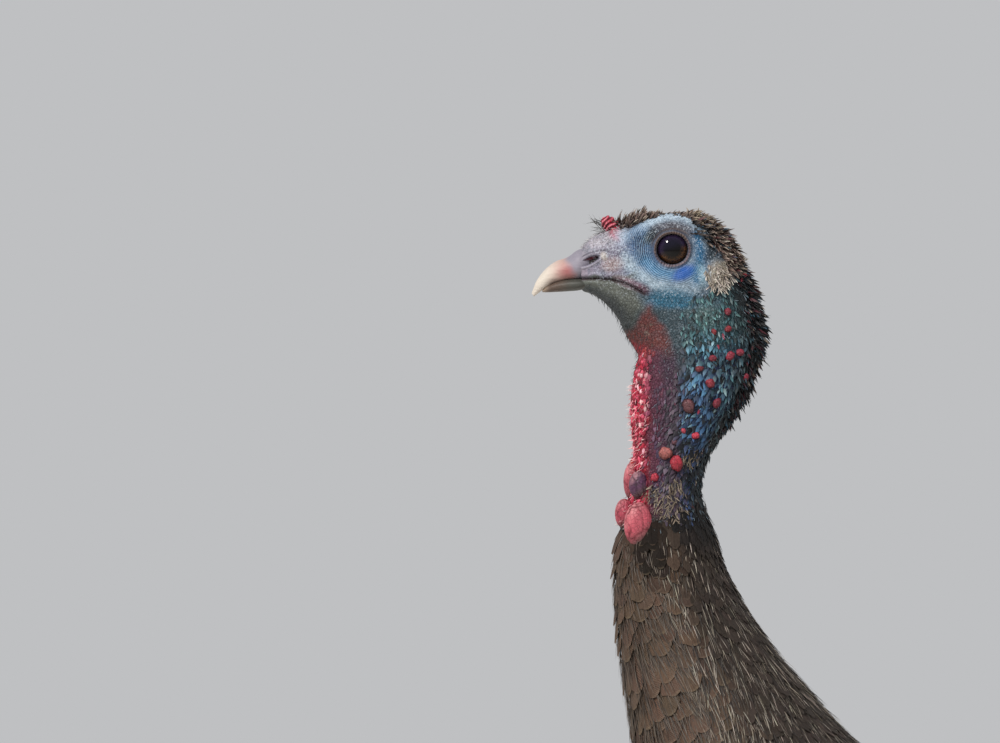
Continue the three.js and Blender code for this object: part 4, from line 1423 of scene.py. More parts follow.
# Bristles and small plumes: bent blades that taper to a point
def bladeTemplate(segments=4, taper=0.85):
    bm = bmesh.new()
    bmesh.ops.create_grid(bm, x_segments=2, y_segments=segments, size=1)
    points, sizes, corners = templateOf(bm)
    across, along = points[:, 0].copy(), (points[:, 1] + 1) / 2
    width = (1 - ease(along, 0.45, 1.0) * taper) * (0.55 + 0.45 * ease(along, 0, 0.3))
    return np.stack([across * width, along, -0.35 * across**2 * width], -1), sizes, corners


def bladesOn(name, roots, plan, rootTone, tipTone, seed, base=None):
    share, angle = roots
    rng = randomOf(seed)
    count = len(share)
    template, sizes, corners = bladeTemplate(plan.get("segments", 4), plan.get("taper", 0.85))
    origins = skinPoint(share, angle) if base is None else base(share, angle)
    place = (origins, share, angle)
    turn = planned(plan, "turn", place) + rng.normal(0, plan["spread"], count)
    frames = framesAt(bodyPoint, share, angle, turn)
    lift = (planned(plan, "lift", place) + rng.normal(0, plan["liftSpread"], count))[:, None]
    length = planned(plan, "length", place) * rng.uniform(0.65, 1.3, count)
    width = plan["width"] * rng.uniform(0.75, 1.25, count) * 0.5
    roll = rng.uniform(-plan.get("roll", 0.6), plan.get("roll", 0.6), count)[:, None]
    across, along, out = frames[:, 0], frames[:, 1], frames[:, 2]
    face = out * np.cos(lift) - along * np.sin(lift)
    side = across * np.cos(roll) + face * np.sin(roll)
    y = template[:, 1]
    bend = lift * (1 - 0.5 * plan["curl"] * y[None])
    ahead = (np.cos(bend) * (length[:, None] * y[None]))[..., None] * along[:, None]
    rise = (np.sin(bend) * (length[:, None] * y[None]))[..., None] * out[:, None]
    points = origins[:, None] - out[:, None] * 0.3 + ahead + rise
    points = points + (template[None, :, 0] * width[:, None])[..., None] * side[:, None]
    points = points + (template[None, :, 2] * width[:, None])[..., None] * out[:, None]
    mesh = joinedCopies(
        name, points, sizes, corners, mapPlace(share, angle), np.stack([y, template[:, 0] * 0.4 + 0.5], -1)
    )
    start = (
        rootTone(origins, share, angle, rng) if callable(rootTone) else varied(rootTone, count, rng, 0.25)
    )
    end = tipTone(origins, share, angle, rng) if callable(tipTone) else varied(tipTone, count, rng, 0.25)
    share = ease(y, plan.get("tipFrom", 0.4), 0.95)[None, :, None]
    putColours(mesh, "tone", (start[:, None] * (1 - share) + end[:, None] * share).reshape(-1, 3))
    return placed(name, mesh, [], bladeMaterial)


def bladeCoat(name, plan, stations, angles, spacing, tries, seed, tones, keep=None, base=None):
    places = (stations[0] / lastStation, stations[1] / lastStation)
    roots = scatter(bodyPoint, places, angles, spacing, seed, tries, keep)
    bladesOn(name, roots, plan, tones[0], tones[1], seed + 1, base=base)
    print(name, len(roots[0]))


def backDepth(share, angle):
    # how far below the back line a place shows in the side view
    rows = curveThrough(bodyStations, share)
    return (1 - np.cos(angle)) * np.hypot(rows[:, 0] - rows[:, 2], rows[:, 1] - rows[:, 3]) / 2


def crownKeep(points, share, angle):
    station = share * lastStation
    shallow = 1 - ease(backDepth(share, angle) + 3 * cloud(points, 5, 117), 12, 15)
    low = 0.84 + 0.08 * cloud(points, 6, 111) - 0.12 * ease(station, 6.2, 8)
    bald = 1 - 0.94 * oval(points[:, 0], 0, -1.0, 0, 8.0, 1, 0, 0.4)
    return (
        ease(np.cos(angle), low - 0.05, low + 0.06) * ease(station, 2.3, 2.7)
        * (1 - ease(station, 7.2, 7.9)) * bald * shallow
    )


def crownLength(points, share, angle):
    x = points[:, 0]
    clump = 1 + 0.5 * cloud(points, 3.2, 113, 2)
    return mixed(mixed(6.0, 2.3, ease(x, -17, -8)), 4.6, ease(x, 5, 9)) * clump


def crownTips(points, share, angle, rng):
    tones = pick(rng, len(points), [("7E6A60", 5), ("A8988A", 2.4), ("5A4A46", 3), ("C8BCAE", 1)])
    return mixed(
        tones, varied("B4A48E", len(points), rng, 0.2),
        (oval(points[:, 0], 0, 11.5, 0, 4, 1) * 0.7)[:, None]
    )


crownPlan = {
    "length": crownLength, "width": 1.15, "lift": 1.0, "liftSpread": 0.4, "spread": 0.7, "curl": 0.8,
    "tipFrom": 0.3, "turn": lambda p, s, a: 1.5 * cloud(p, 4.5, 115, 2), "taper": 0.8, "roll": 1.5
}
bladeCoat(
    "crownPlumes", crownPlan, (2.2, 9.5), (-1.6, 1.6), 0.72, 60000, 111, ("40332E", crownTips),
    crownKeep
)


def napeKeep(points, share, angle):
    station = share * lastStation
    limit = (
        4.6 + 9 * (1 - ease(-points[:, 2], -6, 3)) + 3.6 * ease(-points[:, 2], 22, 30)
        - 2 * ease(-points[:, 2], 46, 56)
    )
    limit = limit + 8 * ease(station, 14.8, 15.8)
    shallow = 1 - ease(backDepth(share, angle) + 3.5 * cloud(points, 6, 121), limit - 2, limit + 2.5)
    return shallow * ease(station, 5.6, 6.6) * (1 - ease(station, 16.6, 17))


def napeLength(points, share, angle):
    clump = clamp(0.5 + 0.9 * cloud(points, 3.4, 123, 2))
    return mixed(3.4, 6.2, clump) * (1 - 0.45 * ease(-points[:, 2], 78, 92))


napePlan = {
    "length": napeLength, "width": 1.3, "lift": lambda p, s, a: mixed(0.9, 0.25, ease(-p[:, 2], 76, 90)),
    "liftSpread": 0.2, "spread": 0.22, "curl": 0.3, "tipFrom": 0.5, "segments": 3, "taper": 0.9,
    "turn": lambda p, s, a: 0.7 * cloud(p, 4.0, 125, 2), "roll": 1.4
}


def napeRoot(points, share, angle, rng):
    count = len(points)
    maroon = rng.uniform(0, 1, (count, 1)) < 0.2
    return np.where(maroon, varied("4A1E28", count, rng, 0.3), varied("17181C", count, rng, 0.3))


def napeTip(points, share, angle, rng):
    count = len(points)
    kind = rng.uniform(0, 1, (count, 1))
    upper = ease(points[:, 2], -40, -10)[:, None]
    crown = ease(points[:, 2], -14, 2)[:, None]
    dark = mixed(varied("22201F", count, rng), varied("6E5A50", count, rng, 0.3), crown * 0.8)
    tones = np.where(kind < 0.05 + 0.2 * upper, varied("9C8E7E", count, rng), dark)
    return np.where(kind > 0.85, varied("33566A", count, rng), tones)


bladeCoat(
    "napeBristles", napePlan, (5.4, 17), (-2.0, 2.0), 1.15, 60000, 121, (napeRoot, napeTip),
    napeKeep
)

# ear tufts
def earKeep(points, share, angle):
    return oval(points[:, 0], points[:, 2], 22.2, -12.2, 5.6, 6.4, 0.3, 0.25) * (np.abs(points[:, 1]) > 6)


earPlan = {
    "length": 3.8, "width": 0.7, "lift": 0.5, "liftSpread": 0.2, "spread": 0.5, "curl": 0.6, "taper": 0.7,
    "turn": lambda p, s, a: -0.35 * np.sign(a) + 0.9 * cloud(p, 3.0, 133, 2)
}
bladeCoat(
    "earTufts", earPlan, (5, 11), (-2.4, 2.4), 0.58, 90000, 131,
    ("867C72", lambda p, s, a, r: pick(r, len(p), [("B8AEA2", 5), ("DAD2C8", 3), ("928676", 2)])),
    earKeep
)

# short pale bristles over the face, which circle the eye
def faceTurn(points, share, angle):
    along, around, out = slopes(bodyPoint, share, angle)
    across = unit(np.cross(unit(along), out))
    x, y, z = points.T
    way = np.where(x + z > 0, 1.0, -1.0)[:, None] * unit(np.stack([z, 0 * y, -x], -1))
    circled = np.arctan2(np.sum(way * across, 1), np.sum(way * unit(along), 1))
    return circled * (1 - ease(np.hypot(x, z), 15, 24))


def faceKeep(points, share, angle):
    x, y, z = points.T
    station = share * lastStation
    fromEye = np.hypot(x, z)
    nose = skinPlan["nostril"]
    gap, along = strokeGap(x, z, skinPlan["mouthLine"])
    clear = (
        ease(fromEye, 10.6, 11.4) * ease(np.hypot((x - nose["x"]) / 6.5, (z - nose["z"]) / 3.6), 0.9, 1.1)
        * ease(gap, 0.7, 1.4)
    )
    jaw = ease(-z + 0.42 * (x + 30), 15.2, 17.0) * (1 - ease(x, -19, -9))
    cobalt = oval(x, z, *skinPlan["cobalt"])
    throat = ease(-z + 0.6 * (x + 20), 24, 32) * (1 - ease(x, 4, 12))
    return (
        clear * (1 - 0.8 * jaw) * (1 - 0.75 * throat) * (1 - 0.8 * cobalt) * (1 - ease(station, 8.0, 9.0))
        * ease(x, -46, -40)
    )


def faceTips(points, share, angle, rng):
    count = len(points)
    under = skinColours(points, share, angle)
    light = pick(rng, count, [("E0E8F0", 3), ("B8C8D8", 3), ("8C98A8", 2)])
    paleness = rng.choice([0.12, 0.45, 0.8], (count, 1), p=[0.4, 0.35, 0.25])
    low = ease(-points[:, 2] + 0.4 * (points[:, 0] + 20), 20, 25)[:, None]
    paleness = paleness * (1 - 0.85 * low) * (1 - 0.75 * foldsAt(points)[:, None])
    return mixed(under * rng.uniform(0.6, 1.3, (count, 1)), light, paleness)


facePlan = {
    "length": 1.7, "width": 0.36, "lift": 0.2, "liftSpread": 0.12, "spread": 0.3, "curl": 0.6,
    "tipFrom": 0.1, "segments": 2, "taper": 0.8, "turn": faceTurn
}
bladeCoat(
    "faceBristles", facePlan, (0.3, 9.2), (-math.pi, math.pi), 0.78, 90000, 135,
    (lambda p, s, a, r: skinColours(p, s, a) * 0.8, faceTips), faceKeep
)

# pale hairs between the throat's beads, dark ones under the chin, thin ones through the neck's scales
throatHair = {
    "length": 3.8, "width": 0.34, "lift": 1.0, "liftSpread": 0.35, "spread": 0.9, "curl": 0.4, "roll": 1.5
}


def throatHairKeep(points, share, angle):
    return ease(-points[:, 2], 42, 47) * ease(-np.cos(angle), 0.7, 0.95)


bladeCoat(
    "throatHairs", throatHair, (8, 16.4), (math.pi * 0.72, math.pi * 1.28), 1.5, 20000, 141,
    ("D87888", "F2E6DE"), throatHairKeep
)
chinHair = {
    "length": 3.2, "width": 0.22, "lift": 0.75, "liftSpread": 0.2, "spread": 0.35, "curl": 0.4, "roll": 1.5
}
bladeCoat(
    "chinHairs", chinHair, (0.5, 8.8), (math.pi * 0.72, math.pi * 1.28), 1.7, 20000, 151,
    ("20262B", "2E3A40")
)
sideHair = {
    "length": 3.4, "width": 0.26, "lift": 0.6, "liftSpread": 0.3, "spread": 0.6, "curl": 0.4, "roll": 1.5
}
bladeCoat("neckHairs", sideHair, (7.5, 16.6), (-2.4, 2.4), 2.9, 30000, 161, ("30404C", "9FB4C0"))
fuzz = {
    "length": 2.6, "width": 0.24, "lift": 0.9, "liftSpread": 0.3, "spread": 0.8, "curl": 0.5, "roll": 1.5,
    "turn": math.pi
}


def fuzzKeep(points, share, angle):
    return ease(np.cos(angle), 0.55, 0.9) * ease(points[:, 0], -47, -42)


bladeCoat(
    "foreheadFuzz", fuzz, (0.2, 3.2), (-1.2, 1.2), 0.95, 20000, 165,
    ("9A959C", lambda p, s, a, r: pick(r, len(p), [("D8D4D6", 4), ("8A8488", 2), ("3A3638", 1)])),
    fuzzKeep
)
snoodHairs = 64
snoodHairRoots = (np.full(snoodHairs, 2.6 / lastStation), np.linspace(-0.5, 0.5, snoodHairs))
rng = randomOf(171)
snoodTips = np.stack(
    [rng.uniform(-35.5, -27.5, snoodHairs), rng.uniform(-2.6, 2.6, snoodHairs), np.zeros(snoodHairs)], -1
)
snoodTips[:, 2] = 8.8 - (snoodTips[:, 0] + 30) * 0.85 + rng.uniform(-2.6, 2.6, snoodHairs)
snoodHair = {
    "length": 7.2, "width": 0.24, "lift": 0.7, "liftSpread": 0.5, "spread": 0.6, "curl": -0.2, "roll": 1.5,
    "turn": math.pi
}
bladesOn(
    "snoodHairs", snoodHairRoots, snoodHair, "1C1816", "3A3430", 172, base=lambda s, a: snoodTips
)
print("hairs made")


# Feathers: a vane of barbs that sweep forward from the shaft to a rounded tip
def vaneTemplate(across, along, plan):
    bm = bmesh.new()
    bmesh.ops.create_grid(bm, x_segments=2 * across, y_segments=along, size=1)
    points, sizes, corners = templateOf(bm)
    # k is how far out from the shaft, j how far up the shaft the barb starts
    k, j = np.abs(points[:, 0]), (points[:, 1] + 1) / 2
    side = np.sign(points[:, 0])
    start = plan.get("start", 0.03)
    edgeY = start + (1 - start) * (1 - np.cos(math.pi * j)) / 2
    edgeX = np.maximum(np.sin(math.pi * j ** plan.get("full", 1.0)), 0) ** plan.get("square", 0.7)
    shaftY = 0.97 * j ** plan.get("sweep", 1.5)
    rng = randomOf(plan.get("seed", 5))
    ragged = 1 + plan.get("ragged", 0.05) * rng.uniform(-1, 1, len(k)) * (k > 0.99)
    x = side * k * edgeX * ragged
    y = shaftY + (edgeY - shaftY) * k**1.2 * ragged
    local = np.stack([x, y, np.zeros(len(x))], -1)
    return local, np.stack([clamp(y), k, j], -1), sizes, corners


def feathersOn(
    name, roots, plan, tones, edges, material, seed, surface=bodyPoint, uvPlace=mapPlace,
    replaced=()
):
    share, angle = roots
    rng = randomOf(seed)
    count = len(share)
    local, vane, sizes, corners = vaneTemplate(plan["across"], plan["along"], plan.get("shape", {}))
    here = surface(share, angle)
    along, around, out = slopes(surface, share, angle)
    place = (here, share, angle)
    length = planned(plan, "length", place) * rng.uniform(0.88, 1.12, count)
    width = planned(plan, "width", place) * rng.uniform(0.88, 1.12, count) * 0.5
    turn = planned(plan, "turn", place) + rng.normal(0, plan["spread"], count)
    forward = unit(along)
    across = unit(np.cross(forward, out))
    ahead = forward * np.cos(turn)[:, None] + across * np.sin(turn)[:, None]
    sidewise = across * np.cos(turn)[:, None] - forward * np.sin(turn)[:, None]
    # steps along the surface's own two ways that give the wanted steps in millimetres
    move = ahead[:, None] * (local[None, :, 1] * length[:, None])[..., None]
    move = move + sidewise[:, None] * (local[None, :, 0] * width[:, None])[..., None]
    ee, ff, gg = (np.sum(p * q, 1)[:, None] for p, q in ((along, along), (along, around), (around, around)))
    byAlong, byAround = np.einsum("nmk,nk->nm", move, along), np.einsum("nmk,nk->nm", move, around)
    det = ee * gg - ff * ff
    shares = share[:, None] + (gg * byAlong - ff * byAround) / det
    angles = angle[:, None] + (ee * byAround - ff * byAlong) / det
    y, k = local[None, :, 1], vane[None, :, 1]
    low = planned(plan, "low", place, -coatDepth(share, angle) + 0.4)
    high = planned(plan, "high", place) + rng.normal(0, plan["uneven"], count)
    swell = low[:, None] + (high - low)[:, None] * y ** 0.75
    swell = swell - plan.get("camber", 0.08) * width[:, None] * k**2
    swell = (
        swell + rng.normal(0, plan.get("tilt", 0.05), count)[:, None] * width[:, None] * local[None, :, 0]
    )
    flatShares, flatAngles = shares.ravel(), angles.ravel()
    points = surface(np.minimum(flatShares, plan.get("lastShare", 1.0)), flatAngles, swell.ravel()).reshape(
        count, -1, 3
    )
    mesh = joinedCopies(
        name, points, sizes, corners, uvPlace(share, angle),
        np.stack([vane[:, 0], local[:, 0] * 0.4 + 0.5], -1)
    )
    each = len(local)
    putColours(mesh, "tone", perCopy(tones(here, share, angle, rng), each))
    putColours(mesh, "edge", perCopy(edges(here, share, angle, rng), each))
    vector = mesh.attributes.new("vane", "FLOAT_VECTOR", "POINT")
    vector.data.foreach_set("vector", np.tile(vane, (count, 1)).astype(np.float32).ravel())
    putValues(mesh, "mark", perCopy(rng.uniform(0, 1, count), each))
    return placed(name, mesh, list(replaced), material)


def vaneWires(start, fineness):
    vane = attribute(start, "vane", "Vector")
    parts = [start.node("SeparateXYZ", {}, {"Vector": vane}, i) for i in range(3)]
    mark = attribute(start, "mark", "Fac")
    place = start.node("CombineXYZ", {}, {"X": parts[2] * fineness, "Y": mark * 90.0, "Z": parts[1] * 1.5})
    barbs = start.node(
        "TexNoise", {}, {"Vector": place, "Scale": 1.0, "Detail": 2.0, "Roughness": 0.6}, "Fac"
    )
    return (*parts, mark, barbs)


def featherNodes(plan):
    def build(start):
        y, k, j, mark, barbs = vaneWires(start, plan.get("fineness", 26.0))
        tone, edge = attribute(start, "tone"), attribute(start, "edge")
        shaded = start.node("HueSaturation", {}, {"Color": tone, "Value": 0.62 + barbs * 0.76})
        if "bars" in plan:
            wobble = (barbs - 0.5) * plan.get("wobble", 1.0)
            wave = (y * plan["bars"] + mark * 3.0 + k * plan.get("slant", 0.0) + wobble).sine()
            shaded = mixColour(
                wave.within(-0.25, 0.35) * plan.get("barDepth", 0.8), shaded, colour(plan["barTone"])
            )
        if "band" in plan:
            low, high = plan["band"]
            band = y.within(low - 0.05, low + 0.03) * (1 - y.within(high - 0.03, high + 0.05))
            shaded = mixColour(band * plan.get("bandDepth", 0.85), shaded, colour(plan["bandTone"]))
        rim = (
            y.within(plan["fringe"][0], plan["fringe"][1])
            + k.within(0.86, 1.0) * y.within(0.3, 0.6) * plan.get("sideFringe", 0.6)
        )
        rim = rim * (0.35 + barbs * 1.25)
        shaded = mixColour(rim.within(0.15, 0.85) * plan.get("fringeDepth", 1.0), shaded, edge)
        shaft = 1 - k.within(0.0, 0.10)
        shaded = mixColour(
            shaft * plan.get("shaftDepth", 0.35), shaded, colour(plan.get("shaftTone", "1C1512"))
        )
        lines = (j * plan.get("barbCount", 190.0)).sine()
        height = lines * 0.35 + barbs + shaft * 0.8
        found = {"Base Color": shaded, "Normal": bumpFrom(start, height, plan.get("depth", 0.22))}
        found["Roughness"] = plan.get("rough", 0.55) + (barbs - 0.5) * 0.3
        if "metal" in plan:
            found["Metallic"] = (1 - rim.within(0.15, 0.85)) * plan["metal"]
        return found

    return build


def featherMaterial(name, gloss, plan):
    return newMaterial(name, {"Specular IOR Level": gloss}, featherNodes(plan))


neckFeatherMaterial = featherMaterial(
    "neckFeather", 0.25,
    {
        "fringe": (0.9, 1.0), "sideFringe": 0.3, "fringeDepth": 0.3, "shaftDepth": 0.15, "rough": 0.68,
        "depth": 0.3, "fineness": 64.0
    }
)


def neckTurn(points, share, angle):
    station = share * lastStation
    return (
        mixed(0.35, -0.14, ease(np.cos(angle), -0.6, 0.2)) * np.sign(angle) * ease(station, 16.5, 18.5)
        * np.sin(np.abs(angle)) * (1 - 0.5 * ease(station, 22, 25))
    )


def neckTones(points, share, angle, rng):
    count = len(points)
    rear = ease(np.cos(angle) + 0.2 * cloud(points, 12, 181), -0.1, 0.45)[:, None]
    tones = mixed(varied("574539", count, rng, 0.14), varied("362E29", count, rng, 0.2), rear * 0.9)
    tones = mixed(tones, varied("1C1A1B", count, rng, 0.2), rear * ease(points[:, 2], -141, -126)[:, None])
    # painted shadow of the large caruncle on the feathers below it
    caruncleShadow = oval(points[:, 0], points[:, 2], -11.5, -136.0, 9.0, 12.0, 0, 0.5)
    return tones * (1 - 0.85 * caruncleShadow[:, None])


def neckEdges(points, share, angle, rng):
    count = len(points)
    rear = ease(np.cos(angle), -0.1, 0.5)[:, None]
    return mixed(varied("84725F", count, rng, 0.14), varied("4E4640", count, rng, 0.2), rear)


def neckWidth(points, share, angle):
    station = share * lastStation
    wide = mixed(6.0, 15, ease(station, 16.0, 20))
    return wide * mixed(1.0, 0.42, ease(np.cos(angle), -0.1, 0.5) * (1 - ease(station, 21, 23.5)))


def neckLength(points, share, angle):
    station = share * lastStation
    return mixed(10.0, 26, ease(station, 16.0, 21))


def neckSpacing(points, share, angle):
    return neckWidth(points, share, angle) * 0.45


neckFeatherPlan = {
    "across": 3, "along": 10, "length": neckLength, "width": neckWidth, "turn": neckTurn, "high": 0.6,
    "uneven": 0.4, "spread": 0.1, "shape": {"square": 0.95, "ragged": 0.12, "full": 0.9}
}


def featherEdge(points, share, angle):
    return ease(share * lastStation + 0.35 * cloud(points, 5, 185) + 0.6 * np.cos(angle), 15.9, 16.3)


roots = scatter(
    bodyPoint, (15 / lastStation, 23 / lastStation), (-math.pi, math.pi), neckSpacing, 181, 60000,
    featherEdge
)
feathersOn(
    "neckFeathers", roots, neckFeatherPlan, neckTones, neckEdges, neckFeatherMaterial, 182
)
print("neck feathers:", len(roots[0]))


def streakKeep(points, share, angle):
    rear = ease(np.cos(angle) + 0.22 * cloud(points, 14, 187), -0.42, -0.05)
    return (
        featherEdge(points, share, angle) * (0.42 + 0.58 * rear)
        * (1 - 0.85 * ease(share * lastStation, 20.5, 23))
    )


def streakTips(points, share, angle, rng):
    # pale streaks over dark ones; near black just behind the bare neck
    count = len(points)
    tones = pick(
        rng, count, [("241E1B", 3.6), ("3C342E", 2.6), ("9A8E80", 4), ("B8AEA0", 1.5), ("5E544A", 2)]
    )
    dark = ease(np.cos(angle), -0.1, 0.3) * ease(points[:, 2], -139, -126)
    tones = mixed(tones, varied("1B191B", count, rng, 0.2), (dark * 0.9)[:, None])
    front = ease(-np.cos(angle), 0.0, 0.4)[:, None]
    return mixed(tones, varied("62554A", count, rng, 0.25), front * 0.9)


streakPlan = {
    "length": lambda p, s, a: mixed(6.5, 11.5, ease(-p[:, 2], 120, 200)), "width": 0.44, "lift": 0.15,
    "liftSpread": 0.09, "spread": 0.14, "curl": 0.8, "tipFrom": 0.1, "roll": 0.5, "turn": neckTurn,
    "taper": 0.9, "segments": 3
}
bladeCoat(
    "neckStreaks", streakPlan, (15.4, 23), (-math.pi, math.pi), 1.1, 90000, 189, ("2A2420", streakTips),
    streakKeep, base=lambda s, a: bodyPoint(s, a, -0.3)
)

# tan tufts where the feathers begin
tuftAt = [
    (-9.7, -115.5, 2.8), (0.2, -114.0, 4.2), (7.0, -99.5, 2.2), (12.2, -97.6, 1.4), (-3.5, -121.0, 4.2),
    (2.0, -124.0, 3.4)
]


def tuftKeep(points, share, angle):
    tufts = [oval(points[:, 0], points[:, 2], x, z, size, size * 1.15, 0, 0.4) for x, z, size in tuftAt]
    return np.max(tufts, 0) * (np.abs(points[:, 1]) > 4)


tuftPlan = {
    "length": 4.2, "width": 0.62, "lift": 0.42, "liftSpread": 0.2, "spread": 0.5, "curl": 0.7,
    "tipFrom": 0.1, "taper": 0.6, "segments": 3
}
bladeCoat(
    "neckTufts", tuftPlan, (13, 18), (-math.pi, math.pi), 0.6, 90000, 191,
    ("4A4036", lambda p, s, a, r: pick(r, len(p), [("76685A", 4), ("8E8070", 3), ("564C42", 2)])),
    tuftKeep, base=lambda s, a: bodyPoint(s, a, -0.6 * coatDepth(s, a))
)

# Trunk: broad bronze feathers, black edged behind the breast and buff edged before it
bodyFeatherMaterial = featherMaterial(
    "bodyFeather", 0.4,
    {
        "fringe": (0.86, 1.0), "sideFringe": 0.4, "band": (0.70, 0.86), "bandTone": "14100E",
        "shaftDepth": 0.25, "rough": 0.42, "depth": 0.25, "metal": 0.45
    }
)


def trunkTones(points, share, angle, rng):
    count = len(points)
    kind = rng.uniform(0, 1, (count, 1))
    bronze = np.where(kind < 0.4, varied("6A4A2C", count, rng, 0.2), varied("54402E", count, rng, 0.2))
    bronze = np.where(kind > 0.86, varied("4C4A2E", count, rng, 0.2), bronze)
    front = 1 - ease(share * lastStation, 21.5, 25.5)[:, None]
    belly = ease(-np.cos(angle), 0.5, 0.95)[:, None] * ease(share * lastStation, 27, 30)[:, None]
    tones = mixed(bronze, varied("57463B", count, rng, 0.16), front)
    return mixed(tones, varied("463B34", count, rng, 0.16), belly * 0.8)


def trunkEdges(points, share, angle, rng):
    count = len(points)
    front = 1 - ease(share * lastStation, 22.5, 26.5)[:, None]
    vent = ease(-np.cos(angle), 0.3, 0.9)[:, None] * ease(share * lastStation, 28, 31)[:, None]
    tones = mixed(varied("2A1E18", count, rng, 0.2), varied("9A8268", count, rng, 0.16), front)
    return mixed(tones, varied("8C7358", count, rng, 0.16), vent)


def trunkWidth(points, share, angle):
    return (
        mixed(20, 36, ease(share * lastStation, 21.5, 26))
        * mixed(1, 0.85, ease(share * lastStation, 31, 35))
    )


def trunkLength(points, share, angle):
    return mixed(27, 46, ease(share * lastStation, 21.5, 26.5))


trunkFeatherPlan = {
    "across": 4, "along": 9, "length": trunkLength, "width": trunkWidth, "high": 0.8, "uneven": 0.8,
    "spread": 0.1, "turn": lambda p, s, a: neckTurn(p, s, a) * (1 - ease(s * lastStation, 24, 27)),
    "shape": {"square": 0.6, "ragged": 0.05}
}
wingPlan = {"first": 23.5, "last": 34.2, "thickness": 13.0}


def wingSpan(s):
    closing = np.sqrt(np.maximum(0, 1 - np.minimum(1, s / 0.16 - 1) ** 2))
    tail = np.sqrt(np.maximum(0, 1 - np.maximum(0, (s - 0.72) / 0.28) ** 2))
    half = mixed(0.72, 0.62, s) * np.where(s < 0.16, closing, 1) * tail
    half = np.maximum(half, 0.06)
    middle = mixed(1.32, 1.22, s)
    return middle - half, middle + 0.95 * half


def wingShare(s):
    return mixed(wingPlan["first"], wingPlan["last"], s) / lastStation


def wingSurface(sideSign):
    def surface(s, across, swell=0.0):
        s = np.clip(s, 0.0, 1.06)
        high, low = wingSpan(clamp(s))
        rise = wingPlan["thickness"] * ease(s, -0.06, 0.2) * mixed(1, 0.6, ease(s, 0.5, 1))
        dome = 0.25 + 0.75 * np.abs(np.sin(math.pi * np.clip(mixed(0.12, 0.86, across), 0.02, 0.98))) ** 0.7
        return bodyPoint(wingShare(s), sideSign * mixed(high, low, across), rise * dome + swell)

    return surface


def underWing(points, share, angle):
    # 1 where the trunk shows past the folded wing
    s = (share * lastStation - wingPlan["first"]) / (wingPlan["last"] - wingPlan["first"])
    high, low = wingSpan(clamp(s))
    inside = (s > 0.06) & (s < 0.9) & (np.abs(angle) > high + 0.22) & (np.abs(angle) < low - 0.2)
    return 1.0 - inside


for name, angles, tries, seed in (
    ("backFeathers", (-1.55, 1.55), 9000, 201), ("breastFeathers", (1.45, 2 * math.pi - 1.45), 12000, 203)
):
    roots = scatter(
        bodyPoint, (21.6 / lastStation, 34.9 / lastStation), angles,
        lambda p, s, a: trunkWidth(p, s, a) * 0.40, seed, tries, underWing
    )
    feathersOn(
        name, roots, trunkFeatherPlan, trunkTones, trunkEdges, bodyFeatherMaterial, seed + 1
    )
    print(name, len(roots[0]))

# Wings: a dark under-skin, rows of coverts, then barred flight feathers
wingFeatherMaterial = featherMaterial(
    "wingFeather", 0.4,
    {
        "fringe": (0.88, 1.0), "sideFringe": 0.5, "band": (0.74, 0.88), "bandTone": "171210",
        "shaftDepth": 0.5, "rough": 0.45, "depth": 0.25, "metal": 0.35
    }
)
flightFeatherMaterial = featherMaterial(
    "flightFeather", 0.4,
    {
        "fringe": (0.975, 1.0), "sideFringe": 0.8, "bars": 62.0, "wobble": 2.2, "slant": 2.0,
        "barTone": "B9AC98", "barDepth": 0.72, "shaftDepth": 0.8, "rough": 0.5, "depth": 0.2,
        "barbCount": 900.0
    }
)


def evenTones(*kinds, lightness=0.15):
    def tones(points, share, angle, rng):
        kind = rng.integers(0, len(kinds), len(points))
        choices = np.stack([varied(words, len(points), rng, lightness) for words in kinds])
        return choices[kind, np.arange(len(points))]

    return tones


def wingUv(sideSign):
    def place(s, across):
        high, low = wingSpan(clamp(s))
        return mapPlace(wingShare(s), sideSign * mixed(high, low, across))

    return place


def sheetMesh(surface, first, last, counts, closed):
    # a grid laid on a surface; closed joins its long sides and fills its ends
    bm = bmesh.new()
    bmesh.ops.create_grid(bm, x_segments=counts[0], y_segments=counts[1], size=1)
    flat = (coordsOf(bm)[:, :2] + 1) / 2
    share = mixed(first[0], last[0], flat[:, 0])
    angle = mixed(first[1], last[1], flat[:, 1])
    setCoords(bm, toFrame(surface(share, angle)))
    if closed:
        seal(bm)
    else:
        bmesh.ops.recalc_face_normals(bm, faces=bm.faces)
    return bm


def plainNodes(words, other, size):
    def build(start):
        spots = noiseAt(start, objectCoords(start), size, 3.0, 0.6)
        return {
            "Base Color": mixColour(spots, colour(words), colour(other)),
            "Normal": bumpFrom(start, spots, 0.6)
        }

    return build


downMaterial = newMaterial("down", {"Roughness": 0.85}, plainNodes("2A221D", "4A3D33", 6.0))
coverPlan = [
    # rows of coverts: where along the wing, how far apart, length, width
    {"s": (0.02, 0.26), "across": (0.04, 0.99), "spacing": 9.5, "length": 25, "width": 22, "high": 1.0},
    {"s": (0.22, 0.34), "across": (0.06, 0.97), "spacing": 11.5, "length": 34, "width": 26, "high": 2.6},
    {"s": (0.33, 0.46), "across": (0.07, 0.95), "spacing": 12.5, "length": 42, "width": 30, "high": 3.8},
]


def rowRoots(count, s, across, seed, jitter=0.01):
    rng = randomOf(seed)
    return np.full(count, s) + rng.uniform(-jitter, jitter, count), np.linspace(across[0], across[1], count)


